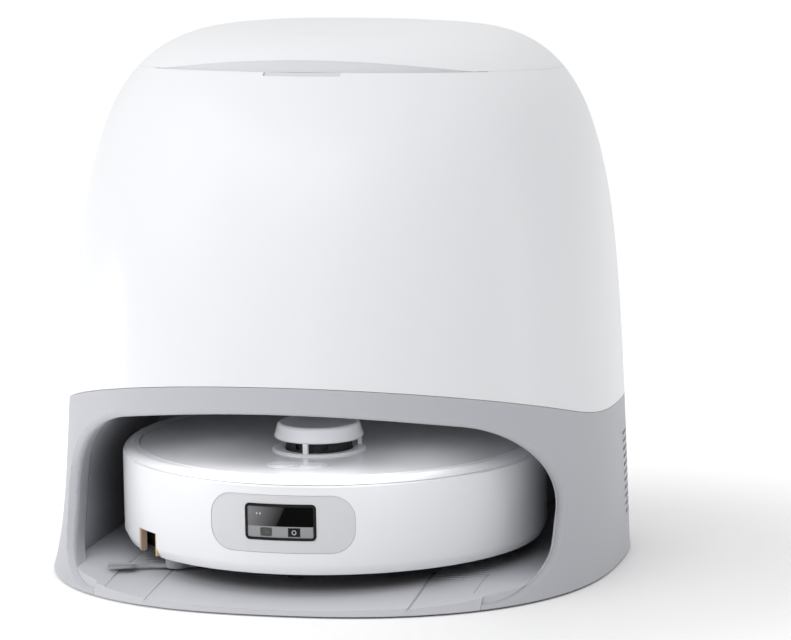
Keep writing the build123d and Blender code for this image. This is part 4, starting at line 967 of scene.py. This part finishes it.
@dataclass
class RampLines:
    """Dark lines that part the wheel lanes from the middle of the ramp: painted shade along the steps at the
    lanes' edges.

    Attributes:
        floor_z: Height of the tray's floor, in millimetres.
        top_y, fall: Where the ramp starts to fall, and its fall for each unit along.
        lane_x, front_y: Place across, and front end, of an inner and of an outer line.
        back_y: Back end of each line.
        width, widen: Width at the front, and what an inner line gains to the back.
    """

    floor_z: float = 13.0
    top_y: float = -120.0
    fall: float = 8 / 95
    lane_x: tuple[float, float] = (107.7, 150.2)
    front_y: tuple[float, float] = (-203.0, -152.0)
    back_y: float = -96.0
    width: float = 0.6
    widen: float = 2.4

    def build(self) -> None:
        """Lays a line of painted shade along both edges of each lane, the inner one wider towards the back.
        """
        kinds = (("inner", -1, self.widen), ("outer", 1, 0.0))
        for side, name in SIDES:
            for (label, step, widen), start, front in zip(kinds, self.lane_x, self.front_y):
                def place(lift: float, edge: float, share: float) -> Vector:
                    """Gives a point of the line at a height, a share across and a share along."""
                    y = front + (self.back_y - front) * share
                    z = self.floor_z + min(y - self.top_y, 0.0) * self.fall + lift
                    x = start + step * edge * (self.width + widen * share ** 2)
                    return Vector((side * x, y, z))

                line = closed_sheet(f"{name}_lane_{label}_line", (0.1, 0.02), (0.0, 1.0), 24, place)
                # The lines' dark grey paints the shade at the lanes' steps
                carry(line, LANE_SHADE_PP, "dock")


@dataclass
class DustBag:
    """Paper dust bag inside the dome, swollen by its air.

    Attributes:
        swell_mm: Furthest that the paper may move out.
        crease_mm: Depth of the creases.
        clear_mm: Least distance from the sides of the solid.
    """

    swell_mm: float = 7.0
    crease_mm: float = 1.2
    clear_mm: float = 0.3

    def build(self) -> None:
        """Makes the bag and its card collar and puts them in place of the solid."""
        low, high = (Vector(corner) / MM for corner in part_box("dust_bag"))
        middle = Vector((0, (low.y + high.y) / 2, 0))
        floor, roof = low.z + 0.4, high.z - 9.0
        inset = Vector((1, 1, 0)) * (self.swell_mm + 1.5)
        near, far = low + inset, high - inset
        corners = ((near.x, near.y), (far.x, near.y), (far.x, far.y), (near.x, far.y))
        outline = [Vector((x, y, floor)) for x, y in corners]
        bag = prism("dust_bag_paper", outline, Vector((0, 0, roof - floor)), 9.0)
        self._swell(bag)
        for vert in bag.data.vertices:
            place = vert.co / MM
            height = (place.z - floor) / (roof - floor)
            out = Vector((place.x, place.y - middle.y, 0)).normalized()
            fade = math.sin(math.pi * clamp(height))
            place += out * self.crease_mm * math.sin(height * 34) * fade
            place.x = clamp(place.x, low.x + self.clear_mm, high.x - self.clear_mm)
            place.y = clamp(place.y, low.y + self.clear_mm, high.y - self.clear_mm)
            place.z = clamp(place.z, floor, roof + 1.0)
            vert.co = place * MM
        for polygon in bag.data.polygons:
            polygon.use_smooth = True
        bag.data.update()
        carry(bag, PAPER, "dock", "dust_bag")
        foot, top = roof - 1.0, high.z - 1.5
        ring = [(20.0, foot), (34.0, foot), (34.0, top - 1.5), (32.5, top), (22.0, top), (20.0, top - 2.0)]
        collar = lathe("dust_bag_collar", ring + ring[:1], middle, 64)
        carry(collar, CARD, "dock")

    def _swell(self, bag: Object) -> None:
        """Blows the bag up with a short cloth simulation.

        Args:
            bag: The bag's rounded box, changed in place.
        """
        remesh = bag.modifiers.new("even", "REMESH")
        remesh.mode = "VOXEL"
        remesh.voxel_size = 5.0 * MM
        bag.data = even = self._applied(bag)
        start = [vert.co.copy() for vert in even.vertices]
        cloth = bag.modifiers.new("air", "CLOTH")
        cloth.settings.use_pressure = True
        cloth.settings.uniform_pressure_force = 4.0
        cloth.settings.effector_weights.gravity = 0.0
        scene = bpy.context.scene
        for step in range(1, 21):
            scene.frame_set(step)
        full = self._applied(bag)
        scene.frame_set(1)
        limit = self.swell_mm * MM
        for vert, old in zip(full.vertices, start):
            move = vert.co - old
            vert.co = old + (move * (limit / move.length) if move.length > limit else move)
        bag.data = full

    @staticmethod
    def _applied(obj: Object) -> Mesh:
        """Returns the mesh that an object's modifiers give, and removes them."""
        graph = bpy.context.evaluated_depsgraph_get()
        mesh = bpy.data.meshes.new_from_object(obj.evaluated_get(graph), depsgraph=graph)
        obj.modifiers.clear()
        return mesh


@dataclass
class MopPads:
    """The two round microfibre pads under the robot, with their loop pile.

    Attributes:
        pile_mm: Length of the loops.
        pitch_mm: Distance between loops.
    """

    pile_mm: float = 1.5
    pitch_mm: float = 4.2

    def build(self) -> None:
        """Makes both pads in place of their solids."""
        for side in ("left", "right"):
            low, high = (Vector(corner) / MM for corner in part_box(f"{side}_mop_pad"))
            centre = Vector(((low.x + high.x) / 2, (low.y + high.y) / 2, 0))
            radius = (high.x - low.x) / 2 - 1.2
            foot, top = low.z + self.pile_mm, high.z - 0.1
            # Flat sole, a sewn channel near the edge, and a rolled rim
            shares = [
                (0, foot), (0.3, foot), (0.84, foot + 0.1), (0.87, foot + 0.7), (0.90, foot + 0.2),
                (0.965, foot + 0.7), (1, (foot + top) / 2), (0.985, top - 0.9), (0.955, top - 0.2),
                (0.3, top), (0, top),
            ]
            outline = [(radius * share, height) for share, height in shares]
            pad = lathe(f"{side}_mop_cloth", outline, centre, 96)
            carry(pad, CLOTH, f"{side}_mop", f"{side}_mop_pad")
            root = centre + Vector((0, 0, foot + 0.25))
            tool = Repeater(f"{side}_pile_tool", self._loop(f"{side}_loop"), 0.25, 11)
            spots = self._spots(root, radius * 0.82)
            pile = tool.place(f"{side}_mop_pile", spots, CLOTH)
            carry(pile, None, f"{side}_mop")

    def _spots(self, root: Vector, reach: float) -> list[tuple[Vector, Vector]]:
        """Lists the loops' places in rings from the outside in.

        Args:
            root: Middle of the rings, in millimetres.
            reach: Radius of the outermost ring.

        Returns:
            Place and facing direction of each loop.
        """
        spots = []
        while reach > self.pitch_mm:
            count = int(2 * math.pi * reach / self.pitch_mm)
            for i in range(count):
                turn = 2 * math.pi * (i + 0.37 * reach) / count
                out = Vector((math.cos(turn), math.sin(turn), 0))
                spots.append((root + out * reach, DOWN + out * 0.25))
            reach -= self.pitch_mm
        return spots

    def _loop(self, name: str) -> Object:
        """Builds one loop of the pile, standing on Z zero.

        Args:
            name: Name of the object.

        Returns:
            The loop, a thin strip bent over.
        """
        tall = self.pile_mm - 0.1
        half = [(1.0, 0.0), (1.1, tall * 0.55), (0.6, tall * 0.95)]
        arch = [(-x, z) for x, z in half] + half[::-1]
        work = bmesh.new()
        rows = [[work.verts.new(Vector((x, y, z)) * MM) for y in (-0.55, 0.55)] for x, z in arch]
        for before, after in zip(rows, rows[1:]):
            work.faces.new([before[0], before[1], after[1], after[0]])
        return finish_mesh(name, work)


@dataclass
class RobotFront:
    """Small fittings in the front of the robot's bumper and the side brush under it.

    Attributes:
        centre: Axis of the robot at the floor of its wheels, in millimetres.
        radius: Radius of the bumper.
        bevel_z, bevel: Height of the bumper's foot above that floor, and of the bevel there.
        eye_z: Height of the lamp and the lens above that floor.
    """

    centre: Vector = field(default_factory=lambda: Vector((0.0, -5.0, 13.3)))
    radius: float = 175.0
    bevel_z: float = 12.0
    bevel: float = 8.0
    eye_z: float = 47.0

    def _on_face(self, x: float, z: float, depth: float) -> Vector:
        """Finds a place on the bumper's front.

        Args:
            x: Place across, in millimetres.
            z: Height above the robot's floor.
            depth: How far under the bumper's radius.

        Returns:
            The place in the shared frame.
        """
        reach = self.radius - depth
        return self.centre + Vector((x, -math.sqrt(reach ** 2 - x ** 2), z))

    def _tile(
        self, name: str, middle: tuple[float, float], size: tuple[float, float], corner: float,
        depth: float, thick: float, finish: Finish, slot: str,
    ) -> None:
        """Lays a small rounded tile on the curved front, riding on the bumper.

        Args:
            name: Name of the object.
            middle: Place across and height above the robot's floor, in millimetres.
            size, corner: Width and height, and radius of the corners.
            depth, thick: Depth of its face under the bumper's radius, and its thickness.
            finish, slot: Its finish, and a material slot's name, which is not used.
        """
        half_x, half_z = size[0] / 2 - corner, size[1] / 2 - corner
        face = []
        for quarter, (sx, sz) in enumerate(((1, 1), (-1, 1), (-1, -1), (1, -1))):
            for step in range(6):
                turn = math.pi / 2 * (quarter + step / 5)
                x = middle[0] + sx * half_x + corner * math.cos(turn)
                z = middle[1] + sz * half_z + corner * math.sin(turn)
                face.append(self._on_face(x, z, depth + thick))
        tile = prism(name, face, Vector((0, -thick, 0)))
        carry(tile, finish, "bumper_unit")

    def _rim_normal(self, place: Vector, facing: Vector) -> Vector:
        """Chooses a soft normal for the bumper's wall and for the bevel at its foot.

        Args:
            place, facing: Corner of a face, in millimetres, and the face's normal.

        Returns:
            The soft curve's normal, or the face's own.
        """
        foot = self.bevel_z + self.centre.z
        out = Vector((place.x - self.centre.x, place.y - self.centre.y, 0))
        reach = out.length
        out.normalize()
        outward = facing.dot(out)
        if outward > 0.8 and place.z < foot + self.bevel + 0.01 and reach > self.radius - self.bevel:
            turn = math.atan(0.5) * max(1 - (place.z - foot) / self.bevel, 0.0) ** 1.5
            return out * math.cos(turn) + DOWN * math.sin(turn)
        return out if outward > 0.97 and reach > self.radius - 0.5 else facing

    def rim(self) -> None:
        """Puts a copy in place of the bumper that is shaded as one soft curve down to its foot."""
        skin = cad_copy("bumper", "bumper_skin")
        shade(skin, self._rim_normal)
        carry(skin, ROBOT_ABS, "bumper_unit", "bumper")

    def fittings(self) -> None:
        """Adds the lamp window and its lens, the two indicator lamps and the ring of the lens, pale as the
        lens's painted round highlight.
        """
        for tile in (
            ("lamp_window", (-11.5, self.eye_z), (9.5, 6.8), 1.4, 0.32, 0.25, LAMP_PC, "sensor_black"),
            ("indicator_0", (-19.2, 61.6), (1.0, 1.7), 0.4, 0.17, 0.1, INDICATOR, "strip_grey"),
            ("indicator_1", (-16.4, 61.6), (1.0, 1.7), 0.4, 0.17, 0.1, INDICATOR, "strip_grey"),
            ("lamp_lens", (-11.0, self.eye_z), (3.4, 2.6), 0.9, 0.27, 0.1, LAMP_FRESNEL, "sensor_black"),
        ):
            self._tile(*tile)
        ring = [(1.25, 0.0), (1.95, 0.0), (1.95, 0.22), (1.7, 0.34), (1.25, 0.12), (1.25, 0.0)]
        lens = lathe("lens_ring", ring, ORIGIN, 40)
        place = self._on_face(11.5, self.eye_z, 0.0) + Vector((0, 0.02, 0))
        lens.data.transform(Matrix.Translation(place * MM) @ Matrix.Rotation(math.pi / 2, 4, "X"))
        # The ring's pale greenish grey paints the lens's round highlight
        carry(lens, RING_HIGHLIGHT_PC, "bumper_unit")

    def notch(self) -> None:
        """Lines the notch over the side brush with its ribbed tan guard and its pale edge."""
        turn, low, high = math.radians(-46.5), 13.2, 31.6
        out = Vector((math.sin(turn), -math.cos(turn), 0))
        across = Vector((math.cos(turn), math.sin(turn), 0))
        base, sweep = self.centre + Vector((0, 0, low)), Vector((0, 0, high - low))
        ribs = [(-12.9 + (0.55 if i % 2 else 0.0), 168.6 + 5.6 * i / 11) for i in range(12)]
        guard = [(-14.8, 168.6), *ribs, (-14.8, 174.2)]
        edge = [(12.9, 170.4), (14.8, 170.4), (14.8, 174.2), (12.9, 174.2)]
        for name, flat, soften, finish in (
            ("notch_guard", guard, 0.0, BRUSH_GUARD), ("notch_edge", edge, 0.4, EDGE_TPE)
        ):
            piece = prism(name, [base + across * u + out * r for u, r in flat], sweep, soften)
            carry(piece, finish, "bumper_unit")

    def side_brush(self) -> None:
        """Sets nylon filaments on the ends of the side brush's arms."""
        hub = self.centre + Vector((-104.0, -112.0, 0.0))
        arms, fan, root, lifts = (192.0, 372.0), 22.0, 34.0, (2.0, 2.6, 3.2)
        spots = []
        for arm, (layer, lift), i in product(arms, enumerate(lifts), range(9)):
            turn = math.radians(arm + fan * (i / 8 - 0.5) + layer * 1.3)
            facing = Vector((math.cos(turn), math.sin(turn), -0.004))
            spots.append((hub + facing * root + Vector((0, 0, lift)), facing))
        outline = [(0.0, 0.0), (0.42, 0.0), (0.40, 12.0), (0.24, 22.2), (0.0, 22.6)]
        tool = Repeater("filament_tool", lathe("filament", outline, ORIGIN, 6), 0.06, 5)
        tufts = tool.place("side_brush_filaments", spots, BRISTLE_NYLON)
        carry(tufts, None, "side_brush_unit")

    def chassis_screws(self) -> None:
        """Sets the screws of the chassis pan."""
        places = [(-60, -141), (60, -141), (112, -108), (-76, -30), (76, -30), (0, -38), (-40, -4), (40, -4)]
        spots = [(self.centre + Vector((x, y, 12.5)), DOWN) for x, y in places]
        tool = Repeater("chassis_screw_tool", screw_unit("chassis_screw", 3.0, 0.9))
        screws = tool.place("chassis_screws", spots, STEEL)
        carry(screws, None, "robot")


def soft_floor() -> None:
    """Lays a pale floor that isn't part of the object; it glows, but for a patch of painted shade round the
    dock where the glow fades out.
    """
    bpy.ops.mesh.primitive_plane_add(size=30, location=(0, 0, -0.0004))
    floor = bpy.context.object
    floor.name = "floor"
    dress(floor, FLOOR_PAPER)
    tree = floor.data.materials[0].node_tree
    shader = tree.nodes["Principled BSDF"]
    shader.inputs["Emission Color"].default_value = (1, 1, 1, 1)
    place = add_node(tree, "ShaderNodeTexCoord").outputs["Object"]
    away = add_node(tree, "ShaderNodeVectorMath", {0: place, 1: (0.17, 0.0, 0.0)}, operation="DISTANCE")
    # Painted shade: the glow fades out near the dock
    glow = ramp(tree, away.outputs["Value"], 0.2, 0.5, high=0.2, soft=True)
    tree.links.new(glow, shader.inputs["Emission Strength"])


@dataclass(frozen=True)
class Lamp:
    """A light of the studio, a soft rectangle or a narrow beam.

    Attributes:
        name: Name of the light.
        place: Its place, in metres.
        aim: The point that it faces.
        watts: Power.
        size: Width and height of a rectangle.
        angle: Full angle of a beam, in degrees.
    """

    name: str
    place: tuple[float, float, float]
    aim: tuple[float, float, float]
    watts: float
    size: Optional[tuple[float, float]] = None
    angle: float = 0.0

    def hang(self) -> None:
        """Puts the light in its place, facing its point."""
        data = bpy.data.lights.new(self.name, "AREA" if self.size else "SPOT")
        data.energy = self.watts
        if self.size:
            data.shape = "RECTANGLE"
            data.size, data.size_y = self.size
        else:
            data.spot_size = math.radians(self.angle)
            data.spot_blend, data.shadow_soft_size = 0.7, 0.18
        light = bpy.data.objects.new(self.name, data)
        bpy.context.scene.collection.objects.link(light)
        light.location = self.place
        facing = Vector(self.aim) - Vector(self.place)
        light.rotation_euler = facing.to_track_quat("-Z", "Y").to_euler()
        LOG.info("hung %s", self.name)


LAMPS = (
    # Broad light of the studio
    Lamp("key_left", (-2.7, -1.3, 2.0), (0, 0, 0.3), 17.5, (2.4, 2.4)),
    Lamp("front_high", (-0.5, -2.6, 2.4), (0, -0.1, 0.10), 13, (2.6, 1.4)),
    Lamp("strip_right", (2.2, -0.15, 0.5), (0, -0.05, 0.3), 2.0, (0.16, 1.5)),
    # Small light under the garage roof, for the robot's front and deck
    Lamp("garage_lamp", (0.0, -0.172, 0.1445), (0, -0.160, 0.0), 0.062, (0.20, 0.022)),
    Lamp("garage_fill_left", (-0.105, -0.10, 0.143), (-0.105, -0.09, 0.0), 0.015, (0.08, 0.12)),
    Lamp("garage_fill_right", (0.105, -0.10, 0.143), (0.105, -0.09, 0.0), 0.024, (0.08, 0.12)),
    # Beams on the robot, on the left leg of the garage and under the arch of the lid
    Lamp("garage_beam", (-0.7, -2.4, 1.25), (-0.02, -0.17, 0.08), 3, angle=8.5),
    Lamp("leg_beam", (-2.2, 0.30, 0.10), (-0.222, -0.06, 0.070), 80, angle=4.0),
    Lamp("brow_beam", (-0.2, -2.4, 0.60), (0.03, -0.10, 0.43), 38, angle=6.5),
)


@dataclass
class Studio:
    """Camera and surroundings of the product shot.

    Attributes:
        place_mm: Camera place.
        yaw, pitch, roll: Its turn to the right, down and about its own axis, in degrees.
        focal_px, axis_px: Focal length, and place across of the axis, in pixels of the image.
        image: Width and height of the image in pixels.
        sensor_mm: Width of the camera's sensor.
        room_back: Brightness of the room behind the object.
        room_left, room_right: Brightness of the room in front, on either side.
        ceiling: Brightness of the room overhead.
    """

    place_mm: tuple[float, float, float] = (947.9, -3595.9, 835.2)
    yaw: float = 13.95
    pitch: float = 9.70
    roll: float = -0.94
    focal_px: float = 4572.5
    image: tuple[int, int] = (791, 640)
    axis_px: float = 398.16
    sensor_mm: float = 36.0
    room_back: float = 0.78
    room_left: float = 0.5
    room_right: float = 0.05
    ceiling: float = 0.96

    def camera(self) -> None:
        """Sets up the camera."""
        yaw, pitch, roll = (math.radians(a) for a in (self.yaw, self.pitch, self.roll))
        back = Vector((math.sin(yaw) * math.cos(pitch), -math.cos(yaw) * math.cos(pitch), math.sin(pitch)))
        right = Vector((math.cos(yaw), math.sin(yaw), 0))
        up = back.cross(right)
        across = right * math.cos(roll) + up * math.sin(roll)
        above = -right * math.sin(roll) + up * math.cos(roll)
        data = bpy.data.cameras.new("camera")
        data.sensor_width = self.sensor_mm
        data.lens = self.focal_px / self.image[0] * self.sensor_mm
        data.shift_x = (self.image[0] / 2 - self.axis_px) / self.image[0]
        data.clip_end = 60
        camera = bpy.data.objects.new("camera", data)
        bpy.context.scene.collection.objects.link(camera)
        turn = Matrix((across, above, back)).transposed()
        camera.matrix_world = Matrix.Translation(Vector(self.place_mm) * MM) @ turn.to_4x4()
        bpy.context.scene.camera = camera

    def surroundings(self) -> None:
        """Sets a white room, full behind the object, dimmer in front and dimmest on the right."""
        world = bpy.data.worlds.new("white_room")
        world.use_nodes = True
        tree = world.node_tree
        ground = tree.nodes["Background"]
        ground.inputs["Color"].default_value = (1, 1, 1, 1)
        place = add_node(tree, "ShaderNodeTexCoord").outputs["Generated"]
        axes = add_node(tree, "ShaderNodeSeparateXYZ", {"Vector": place}).outputs
        slant = {0: axes["X"], 1: -0.35, 2: axes["Y"]}
        lean = add_node(tree, "ShaderNodeMath", slant, operation="MULTIPLY_ADD")
        back = ramp(tree, lean.outputs[0], 0.0, 0.6, soft=True)
        side = ramp(tree, axes["X"], -0.5, 0.6, self.room_left, self.room_right)
        walls = blend(tree, back, side, self.room_back, False)
        rise = ramp(tree, axes["Z"], 0.3, 0.8, soft=True)
        tree.links.new(blend(tree, rise, walls, self.ceiling, False), ground.inputs["Strength"])
        bpy.context.scene.world = world
        bpy.context.scene.view_settings.view_transform = "Standard"


def dress_nodes() -> None:
    """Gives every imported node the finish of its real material."""
    for finish, nodes in PLAIN.items():
        for node in nodes:
            dress(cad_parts[node], finish)
            LOG.info("dressed %s in %s", node, finish.name)


def main() -> None:
    """Builds the look of the robot vacuum and its dock."""
    logging.basicConfig(level=logging.INFO)
    dress_nodes()
    shell = DockShell()
    shell.skins()
    shell.screws()
    trim = LidTrim()
    trim.gasket()
    trim.bevel()
    trim.lip()
    RampLines().build()
    DustBag().build()
    MopPads().build()
    front = RobotFront()
    front.rim()
    front.fittings()
    front.notch()
    front.side_brush()
    front.chassis_screws()
    soft_floor()
    studio = Studio()
    studio.camera()
    studio.surroundings()
    for lamp in LAMPS:
        lamp.hang()


if __name__ == "__main__":
    main()
